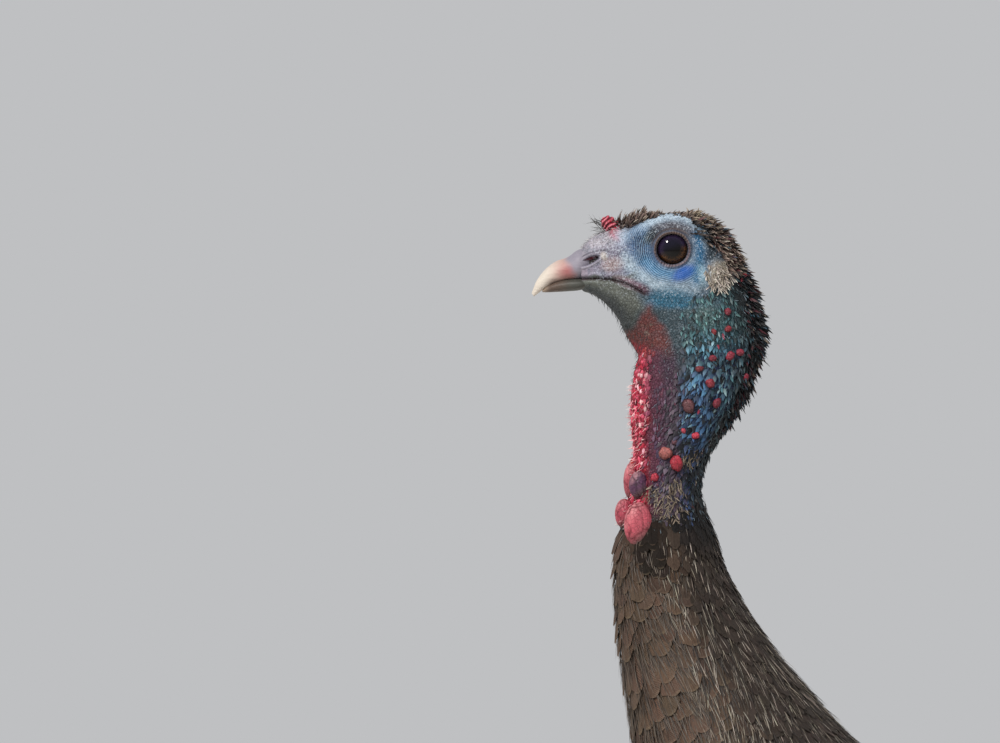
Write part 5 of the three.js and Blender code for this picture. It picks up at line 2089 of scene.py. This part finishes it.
for sideName, sideSign in sides:
    surface = wingSurface(sideSign)
    node = "wing_" + sideName.lower()
    bm = sheetMesh(lambda s, a: surface(s, a, -2.2), (0.0, 0.0), (0.9, 1.04), (60, 30), False)
    bmesh.ops.solidify(bm, geom=bm.faces[:], thickness=0.0012)
    newPiece("wingSkin" + sideName, bm, [node], downMaterial)
    for row, plan in enumerate(coverPlan):
        roots = scatter(surface, plan["s"], plan["across"], plan["spacing"], 211 + row, 3000)
        feathersOn(
            "coverts" + sideName + str(row + 1), roots,
            {
                "across": 3, "along": 7, "length": plan["length"], "width": plan["width"], "low": -1.0,
                "high": plan["high"] + 1.2, "uneven": 0.35, "turn": sideSign * -0.12, "spread": 0.08,
                "lastShare": 1.06, "shape": {"square": 0.55, "ragged": 0.04}
            },
            evenTones("5E4630", "53402F", "4A3E2C"), evenTones("2E221B"),
            wingFeatherMaterial, 221 + row, surface, uvPlace=wingUv(sideSign)
        )
    # greater coverts and flight feathers lie in ordered rows, the upper ones on top
    layers = [
        (
            "secondaries", 13, 0.45, (0.91, 0.13), 192, 42, 0.2, flightFeatherMaterial,
            ("5E5044", "574A3F"), "A59680", 20
        ),
        (
            "greaterCoverts", 15, 0.40, (0.95, 0.06), 84, 32, 2.0, wingFeatherMaterial,
            ("5C4631", "644C34"), "33261D", 10
        ),
    ]
    for layer, (
        name, count, s, across, length, width, low, material, tone, edge, along
    ) in enumerate(layers):
        roots = rowRoots(count, s, across, 231 + layer)
        lift = np.linspace(0, 3.2, count)
        feathersOn(
            name + sideName, roots,
            {
                "across": 3, "along": along, "length": length, "width": width,
                "low": low * 0.4 + lift * 0.6 - 1.2, "high": low + lift + 0.4, "uneven": 0.05, "tilt": 0.0,
                "turn": sideSign * -0.06, "spread": 0.02, "lastShare": 1.05,
                "shape": {"square": 0.42, "ragged": 0.02, "sweep": 1.15}
            },
            evenTones(*tone, lightness=0.1), evenTones(edge), material, 241 + layer,
            surface, uvPlace=wingUv(sideSign)
        )
    # primaries: long stiff blades that run out under the wing
    path = [(215, 72, -478), (285, 60, -495), (360, 45, -512), (428, 36, -530)]

    def primarySurface(s, across, swell=0.0, sideSign=sideSign):
        middle = curveThrough(path, clamp(s))
        tall = mixed(20, 17, s) * np.sqrt(np.maximum(0.04, 1 - ease(s, 0.55, 1.04) ** 2))
        out = 2.6 * (1 - np.clip(across, -1, 1) ** 2) + swell
        return np.stack(
            [middle[:, 0] + across * 2, sideSign * (middle[:, 1] + out), middle[:, 2] + across * tall], -1
        )

    count = 6
    lift = np.linspace(-1.6, 1.8, count)
    feathersOn(
        "primaries" + sideName, (np.linspace(0.10, 0.0, count), np.linspace(-0.42, 0.42, count)),
        {
            "across": 3, "along": 24, "length": np.linspace(206, 150, count), "width": 27, "uneven": 0.0,
            "tilt": 0.0, "spread": 0.01, "low": lift, "high": lift + 0.2, "camber": 0.03, "lastShare": 1.0,
            "shape": {"square": 0.5, "ragged": 0.01, "sweep": 1.1}
        },
        evenTones("3A332E"), evenTones("6A5F54"), flightFeatherMaterial, 251,
        primarySurface,
        uvPlace=lambda s, a, sideSign=sideSign: np.stack(
            [0.93 + 0.05 * s, 0.5 + sideSign * (0.30 + 0.05 * a)], -1
        ),
        replaced=["primaries_" + sideName.lower()]
    )
print("wings made")

# Tail: eighteen barred feathers in a closed fan, with coverts over and under their roots
tailPlan = {"root": (352, -447), "length": 345, "droop": math.radians(33), "feathers": 18}
tailAlong = np.array([math.cos(tailPlan["droop"]), 0, -math.sin(tailPlan["droop"])])
tailUp = np.array([math.sin(tailPlan["droop"]), 0, math.cos(tailPlan["droop"])])
tailStart = np.array([tailPlan["root"][0], 0, tailPlan["root"][1]])


def tailSurface(s, across, swell=0.0):
    # s is the share along the fan, across is millimetres from its middle
    reach = s * (tailPlan["length"] + 38)
    half = np.interp(s, [0, 0.3, 0.5, 0.7, 0.88, 1], [22, 16, 10.5, 6.5, 4, 2]) * 0.55
    points = tailStart + tailAlong * reach[:, None] + tailUp * (half + swell)[:, None]
    points[:, 1] = across
    points[:, 2] -= 0.0022 * across**2
    return points


tailFeatherMaterial = featherMaterial(
    "tailFeather", 0.35,
    {
        "fringe": (0.945, 0.965), "sideFringe": 0.0, "bars": 150.0, "wobble": 5.5, "slant": 2.5,
        "barTone": "2A1D14", "barDepth": 0.75, "band": (0.87, 0.945), "bandTone": "120E0C",
        "shaftDepth": 0.7, "rough": 0.52, "depth": 0.2, "barbCount": 1200.0
    }
)
count = tailPlan["feathers"]
order = np.arange(count) - (count - 1) / 2
order = order[np.argsort(-np.abs(order))]
tailRoots = (np.full(count, 0.06), order * 2.2)


def tailUv(share, across):
    return np.stack([0.97 + 0.02 * share, 0.5 + across / 600], -1)


feathersOn(
    "tailFeathers", tailRoots,
    {
        "across": 4, "along": 30, "length": lambda p, s, a: 358 - np.abs(a) * 0.75, "width": 54,
        "turn": lambda p, s, a: -a * 0.0013, "spread": 0.004, "low": lambda p, s, a: -np.abs(a) * 0.35,
        "high": lambda p, s, a: -np.abs(a) * 0.35, "uneven": 0.05, "tilt": 0.0, "camber": 0.05,
        "lastShare": 1.01, "shape": {"square": 0.36, "ragged": 0.012, "sweep": 1.08, "start": 0.0}
    },
    evenTones("7A5232", "744E30", lightness=0.06), evenTones("9A6234", lightness=0.08),
    tailFeatherMaterial, 261, tailSurface, uvPlace=tailUv, replaced=["tail"]
)
coverMaterial = featherMaterial(
    "tailCovert", 0.4,
    {
        "fringe": (0.87, 0.93), "sideFringe": 0.2, "bars": 44.0, "wobble": 2.5, "slant": 2.0,
        "barTone": "2E2118", "barDepth": 0.45, "band": (0.72, 0.84), "bandTone": "100D0B",
        "shaftDepth": 0.4, "rough": 0.45, "depth": 0.22, "metal": 0.35
    }
)
for name, flip, seed, words, edge in (
    ("upperTailCoverts", 1, 271, ("6E4A2C", "62452D"), "8A5630"),
    ("underTailCoverts", -1, 273, ("7A6048", "6C5540"), "8A7458"),
):
    def cover(s, across, swell=0.0, flip=flip):
        # the upper ones lie flatter towards the sides, the under ones hang lowest along the middle
        if flip > 0:
            return tailSurface(s, across, swell * (0.3 + 0.7 * clamp(1 - (across / 50) ** 2)))
        deep = np.interp(s, [0, 0.12, 0.3, 0.5, 1], [22, 14, 8.5, 7.5, 6]) * clamp(1 - (across / 48) ** 2)
        return tailSurface(s, -across, -swell - deep - 0.6)

    rng = randomOf(seed)
    # each row: where along the tail, how many feathers, half its width
    rows = [(0.0, 9, 22), (0.05, 10, 26), (0.10, 9, 27), (0.155, 8, 27), (0.215, 7, 25)]
    reach = np.concatenate([
        np.full(many, at) + rng.uniform(-0.008, 0.008, many) for at, many, half in rows
    ])
    across = np.concatenate([np.linspace(-half, half, many) for at, many, half in rows])
    feathersOn(
        name, (reach, across),
        {
            "across": 3, "along": 10, "length": 92, "width": 40, "turn": lambda p, s, a: -a * 0.002,
            "spread": 0.04, "low": -0.5, "high": 4.2 if flip > 0 else 1.4, "uneven": 0.5,
            "camber": 0.10 * flip, "lastShare": 1.0, "shape": {"square": 0.5, "ragged": 0.03, "sweep": 1.25}
        },
        evenTones(*words), evenTones(edge), coverMaterial, seed + 1, cover,
        uvPlace=lambda s, a, flip=flip: np.stack([0.90 + 0.2 * s, 0.5 + flip * 0.12 + a / 900], -1)
    )
print("tail made")

# Legs: feathered thighs, scaled shanks and toes
legPlan = {
    "stations": [
        (92, 222, -478, 40, -6), (100, 218, -535, 38, 0), (121, 208, -585, 29, 2),
        (144, 203, -635, 20.5, 1), (164, 201, -685, 14.5, 0), (174, 201, -728, 11, 0),
        (179, 198, -741, 8, 0)
    ],
    "ground": -915.0, "spread": 60.0, "stride": 20.0, "hock": (190, -744), "ankle": (171, -894),
    "dome": 0.10, "domeTall": 26.0,
}
toes = {
    "inner": {"turn": 0.52, "length": 50, "thick": 6.2, "claw": 15, "joints": 2},
    "middle": {"turn": 0.03, "length": 74, "thick": 6.8, "claw": 17, "joints": 3},
    "outer": {"turn": -0.6, "length": 56, "thick": 6.0, "claw": 14, "joints": 3},
    "hind": {"turn": math.pi - 0.35, "length": 27, "thick": 4.8, "claw": 12, "joints": 1},
}


def strideAt(z, sideSign):
    return sideSign * legPlan["stride"] * ease(-np.asarray(z, float), 478, 894)


def thighSurface(sideSign):
    def surface(s, angle, swell=0.0):
        # above its first station the thigh closes in a dome
        over = clamp(-s / legPlan["dome"])
        closing = np.sqrt(1.02 - over**2)
        rows = curveThrough(legPlan["stations"], clamp(s))
        shift = strideAt(rows[:, 2], sideSign)
        depth = (rows[:, 1] - rows[:, 0]) / 2
        x = (rows[:, 0] + rows[:, 1]) / 2 + shift + np.cos(angle) * (depth + swell) * closing
        y = sideSign * (legPlan["spread"] + rows[:, 4]) + np.sin(angle) * (rows[:, 3] + swell) * closing
        return np.stack([x, y, rows[:, 2] + over * legPlan["domeTall"]], -1)

    return surface


thighMaterial = featherMaterial(
    "thighFeather", 0.3,
    {"fringe": (0.82, 1.0), "sideFringe": 0.4, "shaftDepth": 0.25, "rough": 0.6, "depth": 0.25}
)


def tubeOn(line, radii):
    # a tube along a line, its half width and half height given at each share
    def surface(s, angle, swell=0.0):
        centre = curveThrough(line, s)
        ahead = unit(curveThrough(line, s + 0.004) - curveThrough(line, s - 0.004))
        whole = np.asarray(line[-1], float) - np.asarray(line[0], float)
        reference = np.cross([0, 0, 1], whole)
        if np.linalg.norm(reference) < 0.7 * np.linalg.norm(whole):
            reference = np.array([0.0, 1.0, 0.0])
        reference = reference / np.linalg.norm(reference)
        across = unit(reference - ahead * (ahead @ reference)[:, None])
        rise = unit(np.cross(ahead, across))
        wide, tall = radii(s)
        return (
            centre + across * (np.cos(angle) * (wide + swell))[:, None]
            + rise * (np.sin(angle) * (tall + swell))[:, None]
        )

    return surface


def footPlace(sideSign):
    return np.array([
        legPlan["ankle"][0] + float(strideAt(legPlan["ankle"][1], sideSign)) - 2,
        sideSign * legPlan["spread"], legPlan["ground"]
    ])


def toeLine(sideSign, toe):
    # the toe's middle line, and a function for any place above its heading
    heading = np.array([-math.cos(toe["turn"]), -sideSign * math.sin(toe["turn"]), 0])

    def at(reach, height):
        return footPlace(sideSign) + heading * reach + np.array([0, 0, height])

    start = 17 if toe["length"] < 30 else 13
    long = toe["length"]
    return [at(-2, start), at(long * 0.25, start * 0.56), at(long * 0.55, 4.6), at(long, 3.4)], at


def shankLine(sideSign):
    hock, ankle = legPlan["hock"], legPlan["ankle"]
    places = [
        (hock[0] + 1, hock[1] + 14), hock, (186, hock[1] - 20), (178, -835), ankle,
        (169, legPlan["ground"] + 9)
    ]
    return [(x + float(strideAt(z, sideSign)), sideSign * legPlan["spread"], z) for x, z in places]


def shankRadii(s):
    knob = 2.4 * np.exp(-(((s - 0.16) / 0.12) ** 2)) + 2.0 * ease(s, 0.8, 1)
    return 5 + knob, 6.2 + knob * 1.3


def clawRadii(s):
    return mixed(3.3, 0.5, s) * 0.8, mixed(3.3, 0.5, s)


def spurRadii(s):
    return mixed(4.2, 1.0, s), mixed(4.2, 1.0, s)


def legNodes(start):
    coords = objectCoords(start)
    tone = attribute(start, "tone")
    groove = attribute(start, "groove", "Fac")
    fine = noiseAt(start, coords, 1.3, 3.0, 0.6)
    grain = start.node("TexVoronoi", {}, {"Vector": coords, "Scale": 620.0}, "Distance")
    shaded = start.node("HueSaturation", {}, {"Color": tone, "Value": 0.78 + fine * 0.44})
    # painted shade: darker in the grooves between the scales
    shaded = mixColour(groove * 0.75, shaded, colour("3E2A27"))
    return {
        "Base Color": shaded, "Roughness": 0.42 + fine * 0.2,
        "Normal": bumpFrom(start, fine * 0.5 - grain * 0.5, 0.25)
    }


legMaterial = newMaterial("legScales", {"Specular IOR Level": 0.45}, legNodes)


# where each leg's parts lie on the skin's map: their turn across, their length up; a leg has half the height
legCells = {
    "limb": (0.790, 0.865, 0.06, 0.94), "inner": (0.880, 0.930, 0.04, 0.47),
    "middle": (0.945, 0.990, 0.04, 0.47), "outer": (0.880, 0.930, 0.53, 0.96),
    "hind": (0.945, 0.990, 0.53, 0.96), "thigh": (0.790, 0.865, 0.96, 0.99),
}


def unrolled(mesh, turns, reaches, owner, cells, sideSign):
    # OFBake for tubes: a face takes its first corner's tube, and turns are read from there, so none wraps
    corners = np.empty(len(mesh.loops), np.int32)
    mesh.loops.foreach_get("vertex_index", corners)
    totals = np.empty(len(mesh.polygons), np.int32)
    starts = np.empty(len(mesh.polygons), np.int32)
    mesh.polygons.foreach_get("loop_total", totals)
    mesh.polygons.foreach_get("loop_start", starts)
    leads = np.repeat(corners[starts], totals)
    tube = owner[leads]
    lead = turns[tube, leads]
    turn = lead + (turns[tube, corners] - lead + math.pi) % (2 * math.pi) - math.pi
    box = np.array(cells)[tube]
    flat = np.stack(
        [
            mixed(box[:, 0], box[:, 1], turn / (2 * math.pi) + 0.5),
            (mixed(box[:, 2], box[:, 3], reaches[tube, corners]) + (sideSign > 0)) / 2
        ],
        -1
    )
    mesh.uv_layers.new(name="OFBake").data.foreach_set("uv", flat.astype(np.float32).ravel())


def unrollLeg(mesh, points, owner, sideSign):
    line = np.array(shankLine(sideSign))
    middle = np.interp(-points[:, 2], -line[:, 2], line[:, 0])
    turns = [np.arctan2(sideSign * points[:, 1] - legPlan["spread"], points[:, 0] - middle)]
    reaches = [clamp((-points[:, 2] + line[0, 2]) / (line[0, 2] - legPlan["ground"]))]
    away = points - footPlace(sideSign)
    for toe in toes.values():
        heading = np.array([-math.cos(toe["turn"]), -sideSign * math.sin(toe["turn"]), 0])
        spine = (
            (np.array(toeLine(sideSign, toe)[0]) - footPlace(sideSign)) @ np.stack([heading, [0, 0, 1]], -1)
        )
        along = away @ heading
        height = away[:, 2] - np.interp(along, spine[:, 0], spine[:, 1])
        turns.append(np.arctan2(away @ np.array([-heading[1], heading[0], 0]), height))
        reaches.append(clamp((along + 12) / (toe["length"] + 20)))
    unrolled(
        mesh, np.array(turns), np.array(reaches), owner, [legCells[name] for name in ("limb", *toes)],
        sideSign
    )


def buildLeg(sideName, sideSign):
    lines = [(shankLine(sideSign), 150.0)]
    pieces = [sheetMesh(tubeOn(shankLine(sideSign), shankRadii), (0, 0), (1, 2 * math.pi), (90, 28), True)]
    for toe in toes.values():
        line = toeLine(sideSign, toe)[0]
        lines.append((line, toe["length"]))

        def radii(s, toe=toe):
            pads = 1 + 0.10 * np.cos(2 * math.pi * (s * toe["joints"] + 0.5))
            thick = (
                toe["thick"] * mixed(1.05, 0.74, s) * pads
                * np.sqrt(clamp(1.002 - ease(s, 0.93, 1.05) ** 2))
            )
            return thick, thick * 0.95

        pieces.append(sheetMesh(tubeOn(line, radii), (0, 0), (1, 2 * math.pi), (60, 24), True))
    pad = bmesh.new()
    bmesh.ops.create_icosphere(pad, subdivisions=4, radius=1)
    setCoords(pad, toFrame(coordsOf(pad) * [10, 8.5, 8] + footPlace(sideSign) + [-4, 0, 7]))
    pieces.append(pad)
    whole = bmesh.new()
    for piece in pieces:
        part = meshFrom("part", piece)
        whole.from_mesh(part)
        bpy.data.meshes.remove(part)
    # melt the parts into one and let the surface relax
    helper = bpy.data.objects.new("helper", meshFrom("leg" + sideName, whole))
    scene.collection.objects.link(helper)
    melt = helper.modifiers.new("melt", "REMESH")
    melt.mode = "VOXEL"
    melt.voxel_size = 0.0013
    soften = helper.modifiers.new("soften", "SMOOTH")
    soften.factor = 0.5
    soften.iterations = 3
    bpy.context.view_layer.update()
    mesh = bpy.data.meshes.new_from_object(helper.evaluated_get(bpy.context.evaluated_depsgraph_get()))
    bpy.data.objects.remove(helper)
    mesh.name = "leg" + sideName
    points = (meshPoints(mesh) - eyeMiddle) * 1000
    normals = np.empty(len(points) * 3, np.float32)
    mesh.vertices.foreach_get("normal", normals)
    normals = normals.reshape(-1, 3)
    # nearest centre line: how far along it in millimetres, and whether the place faces forwards or up
    best = np.full(len(points), 1e9)
    owner = np.zeros(len(points), int)
    reach = np.zeros(len(points))
    frontness = np.zeros(len(points))
    for number, (line, length) in enumerate(lines):
        shares = np.linspace(0, 1, 60)
        places = curveThrough(line, shares)
        gaps = np.linalg.norm(points[:, None] - places[None], axis=2)
        nearest = gaps.argmin(1)
        closer = gaps.min(1) < best
        best = np.where(closer, gaps.min(1), best)
        owner = np.where(closer, number, owner)
        past = 0.5 * ((points - places[nearest]) @ (places[-1] - places[0])) / length
        reach = np.where(closer, shares[nearest] * length + past, reach)
        facing = normals @ (np.array([-1, 0, 0.0]) if number == 0 else np.array([0, 0, 1.0]))
        frontness = np.where(closer, facing, frontness)
    plates = ease(frontness, 0.1, 0.45)
    step = np.where(points[:, 2] > -890, 6.2, 4.2)
    phase = (reach / step) % 1.0
    groove = np.exp(-((np.minimum(phase, 1 - phase) * step / 0.75) ** 2)) * plates
    near, far, mark = pebbles(points, 3.0, 281)
    net = np.exp(-(((far - near) / 0.16) ** 2)) * (1 - plates)
    groove = np.maximum(groove, net)
    points = points + normals * (0.25 * plates * np.sin(phase * math.pi) - 0.55 * groove)[:, None]
    points[:, 2] = np.maximum(points[:, 2], legPlan["ground"])
    mesh.vertices.foreach_set("co", toFrame(points).astype(np.float32).ravel())
    mesh.update()
    tones = np.tile(paint("B07F76"), (len(points), 1))
    tones = over(tones, "8A6A66", ease(cloud(points, 12, 283, 2), 0, 0.7) * 0.6)
    tones = over(tones, "C79A8C", plates * (0.3 + 0.4 * mark))
    # painted shade: darker at the undersides next to the ground
    tones = over(tones, "6F524E", ease(points[:, 2], -905, -913) * 0.7)
    putColours(mesh, "tone", tones)
    putValues(mesh, "groove", groove)
    unrollLeg(mesh, points, owner, sideSign)
    mesh.polygons.foreach_set("material_index", np.ones(len(mesh.polygons), np.int32))
    return mesh


def buildThigh(sideName, sideSign):
    surface = thighSurface(sideSign)
    bm = sheetMesh(lambda s, a: surface(s, a, -2.5), (-0.098, 0), (1, 2 * math.pi), (44, 36), True)
    mesh = meshFrom("thigh" + sideName, bm)
    points = (meshPoints(mesh) - eyeMiddle) * 1000
    rows = np.array(legPlan["stations"], float)
    middle = (
        np.interp(-points[:, 2], -rows[:, 2], (rows[:, 0] + rows[:, 1]) / 2)
        + strideAt(points[:, 2], sideSign)
    )
    turn = np.arctan2(sideSign * points[:, 1] - legPlan["spread"], points[:, 0] - middle)
    reach = clamp((-points[:, 2] - 440) / 310)
    putColours(mesh, "tone", np.tile(paint("2A221D"), (len(points), 1)))
    unrolled(mesh, turn[None], reach[None], np.zeros(len(points), int), [legCells["thigh"]], sideSign)
    mesh.polygons.foreach_set("material_index", np.full(len(mesh.polygons), 2, np.int32))
    return mesh


def joinSkin(meshes):
    # the body's skin, the thighs and the scaled legs as one piece
    bm = bmesh.new()
    for mesh in [skin.data, *meshes]:
        bm.from_mesh(mesh)
    bm.to_mesh(skin.data)
    bm.free()
    skin.data.materials.append(legMaterial)
    skin.data.materials.append(downMaterial)
    skin.data.shade_smooth()
    for mesh in meshes:
        bpy.data.meshes.remove(mesh)
    for side in ("left", "right"):
        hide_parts("thigh_" + side, "shank_" + side, "foot_" + side)


def clawNodes(start):
    coords = objectCoords(start)
    streaks = noiseAt(start, coords, 1.2, 3.0)
    return {
        "Base Color": mixColour(streaks.within(0.3, 0.75), colour("2A211D"), colour("6A584C")),
        "Roughness": 0.3 + streaks * 0.2,
        "Normal": bumpFrom(start, streaks, 0.15),
    }


clawMaterial = newMaterial("claw", {"Specular IOR Level": 0.5}, clawNodes)
joinSkin([build(sideName, sideSign) for sideName, sideSign in sides for build in (buildLeg, buildThigh)])
print("legs joined to the skin,", len(skin.data.polygons), "faces")
for sideName, sideSign in sides:
    surface = thighSurface(sideSign)
    roots = scatter(surface, (-0.08, 0.95), (-math.pi, math.pi), 6.6, 291, 9000)
    feathersOn(
        "thighFeathers" + sideName, roots,
        {
            "across": 3, "along": 6, "length": lambda p, s, a: mixed(26, 14, s),
            "width": lambda p, s, a: mixed(20, 10, s), "low": -2.2, "high": 0.6, "spread": 0.12,
            "uneven": 0.5, "shape": {"square": 0.7, "ragged": 0.07}
        },
        evenTones("5A4A3F", "524438"), evenTones("8F7B68"), thighMaterial, 293, surface,
        uvPlace=lambda s, a, sideSign=sideSign: np.stack(
            [0.5 + 0.1 * s, (0.5 + sideSign * 0.25 + a / 30) % 1], -1
        )
    )
    for toeName, toe in toes.items():
        line, at = toeLine(sideSign, toe)
        end, long = toe["length"], toe["claw"]
        curve = [
            at(end - 5, 4.0), at(end + long * 0.3, 5.4), at(end + long * 0.7, 4.6), at(end + long, 1.4)
        ]
        bm = sheetMesh(tubeOn(curve, clawRadii), (0, 0), (1, 2 * math.pi), (26, 18), True)
        points = coordsOf(bm)
        points[:, 2] = np.maximum(points[:, 2], 0.0004)
        setCoords(bm, points)
        newPiece(
            "claw" + sideName + toeName.capitalize(), bm, ["claw_" + sideName.lower() + "_" + toeName],
            clawMaterial
        )
    spurAt = np.array([183 + float(strideAt(-840, sideSign)), sideSign * 58.0, -840.0])
    tip = spurAt + np.array([13, -sideSign * 4, 4.5])
    curve = [spurAt - [3, 0, 0], spurAt + (tip - spurAt) * 0.5 + [0, 0, -0.6], tip]
    bm = sheetMesh(tubeOn(curve, spurRadii), (0, 0), (1, 2 * math.pi), (20, 20), True)
    newPiece("spur" + sideName, bm, ["spur_" + sideName.lower()], clawMaterial)
print("legs made")

# Beard: coarse black bristles from the breast
beardLine = [(-22, 0, -318), (-36, 0, -334), (-46, 0, -358), (-51, 0, -385), (-52, 0, -421)]
count = 170
rng = randomOf(301)
template, sizes, corners = bladeTemplate(9, 0.6)
y = template[:, 1]
reach = rng.uniform(0.72, 1.0, count)
middle = curveThrough(beardLine, (y[None] * reach[:, None]).ravel()).reshape(count, -1, 3)
sway = rng.normal(0, 1, (count, 1, 2)) * (1.3 + 1.9 * y[None, :, None])
swayed = np.stack([sway[..., 0] * 0.55, sway[..., 1], 0 * sway[..., 0]], -1)
roll = rng.uniform(0, math.pi, count)
wide = (
    np.stack([np.cos(roll), np.sin(roll), 0 * roll], -1)[:, None] * (template[None, :, 0] * 0.42)[..., None]
)
mesh = joinedCopies(
    "beard", middle + swayed + wide, sizes, corners,
    np.stack([0.65 + rng.uniform(-0.002, 0.002, count), 0.999 * np.ones(count)], -1),
    np.stack([y, template[:, 0] * 0.4 + 0.5], -1)
)
tones = np.repeat(varied("1A1513", count, rng, 0.3), len(template), axis=0)
putColours(mesh, "tone", mixed(tones, paint("4A3226"), np.tile(ease(y, 0.8, 1.0), count)[:, None]))
placed("beardBristles", mesh, ["beard"], bladeMaterial)
print("beard made")

# Floor and lights
floorMaterial = newMaterial(
    "floor", {"Roughness": 0.9},
    lambda start: {
        "Base Color": mixColour(
            noiseAt(start, objectCoords(start), 400.0), colour("D9D6D0"), colour("DEDBD5")
        )
    },
)
bm = bmesh.new()
bmesh.ops.create_grid(bm, x_segments=1, y_segments=1, size=9)
floorMesh = meshFrom("floor", bm)
floorMesh.materials.append(floorMaterial)
floor = bpy.data.objects.new("floor", floorMesh)
scene.collection.objects.link(floor)
floor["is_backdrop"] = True

lights = [
    {"name": "key", "at": (-2.0, -2.4, 3.2), "size": 0.55, "power": 120, "colour": (1.0, 0.97, 0.92)},
    {"name": "fill", "at": (1.8, -3.4, 1.6), "size": 2.5, "power": 8, "colour": (0.93, 0.96, 1.0)},
    {"name": "rim", "at": (1.6, 2.6, 2.6), "size": 1.5, "power": 40, "colour": (1.0, 0.98, 0.95)},
]
for plan in lights:
    lamp = bpy.data.lights.new(plan["name"], "AREA")
    lamp.shape = "DISK"
    lamp.size = plan["size"]
    lamp.energy = plan["power"]
    lamp.color = plan["colour"]
    lampObject = bpy.data.objects.new(plan["name"], lamp)
    lampObject.location = plan["at"]
    lampObject.visible_glossy = plan["name"] == "key"
    aimed = Vector((-0.25, 0, 0.8)) - Vector(plan["at"])
    lampObject.rotation_euler = aimed.to_track_quat("-Z", "Y").to_euler()
    scene.collection.objects.link(lampObject)
world = bpy.data.worlds.new("studio")
scene.world = world
world.use_nodes = True
world.node_tree.nodes["Background"].inputs["Color"].default_value = (0.84, 0.85, 0.87, 1)
world.node_tree.nodes["Background"].inputs["Strength"].default_value = 0.62
print("stage set")

sizes = {"cad": [list(c) for c in cadBox], "visual": [list(c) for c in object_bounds()]}
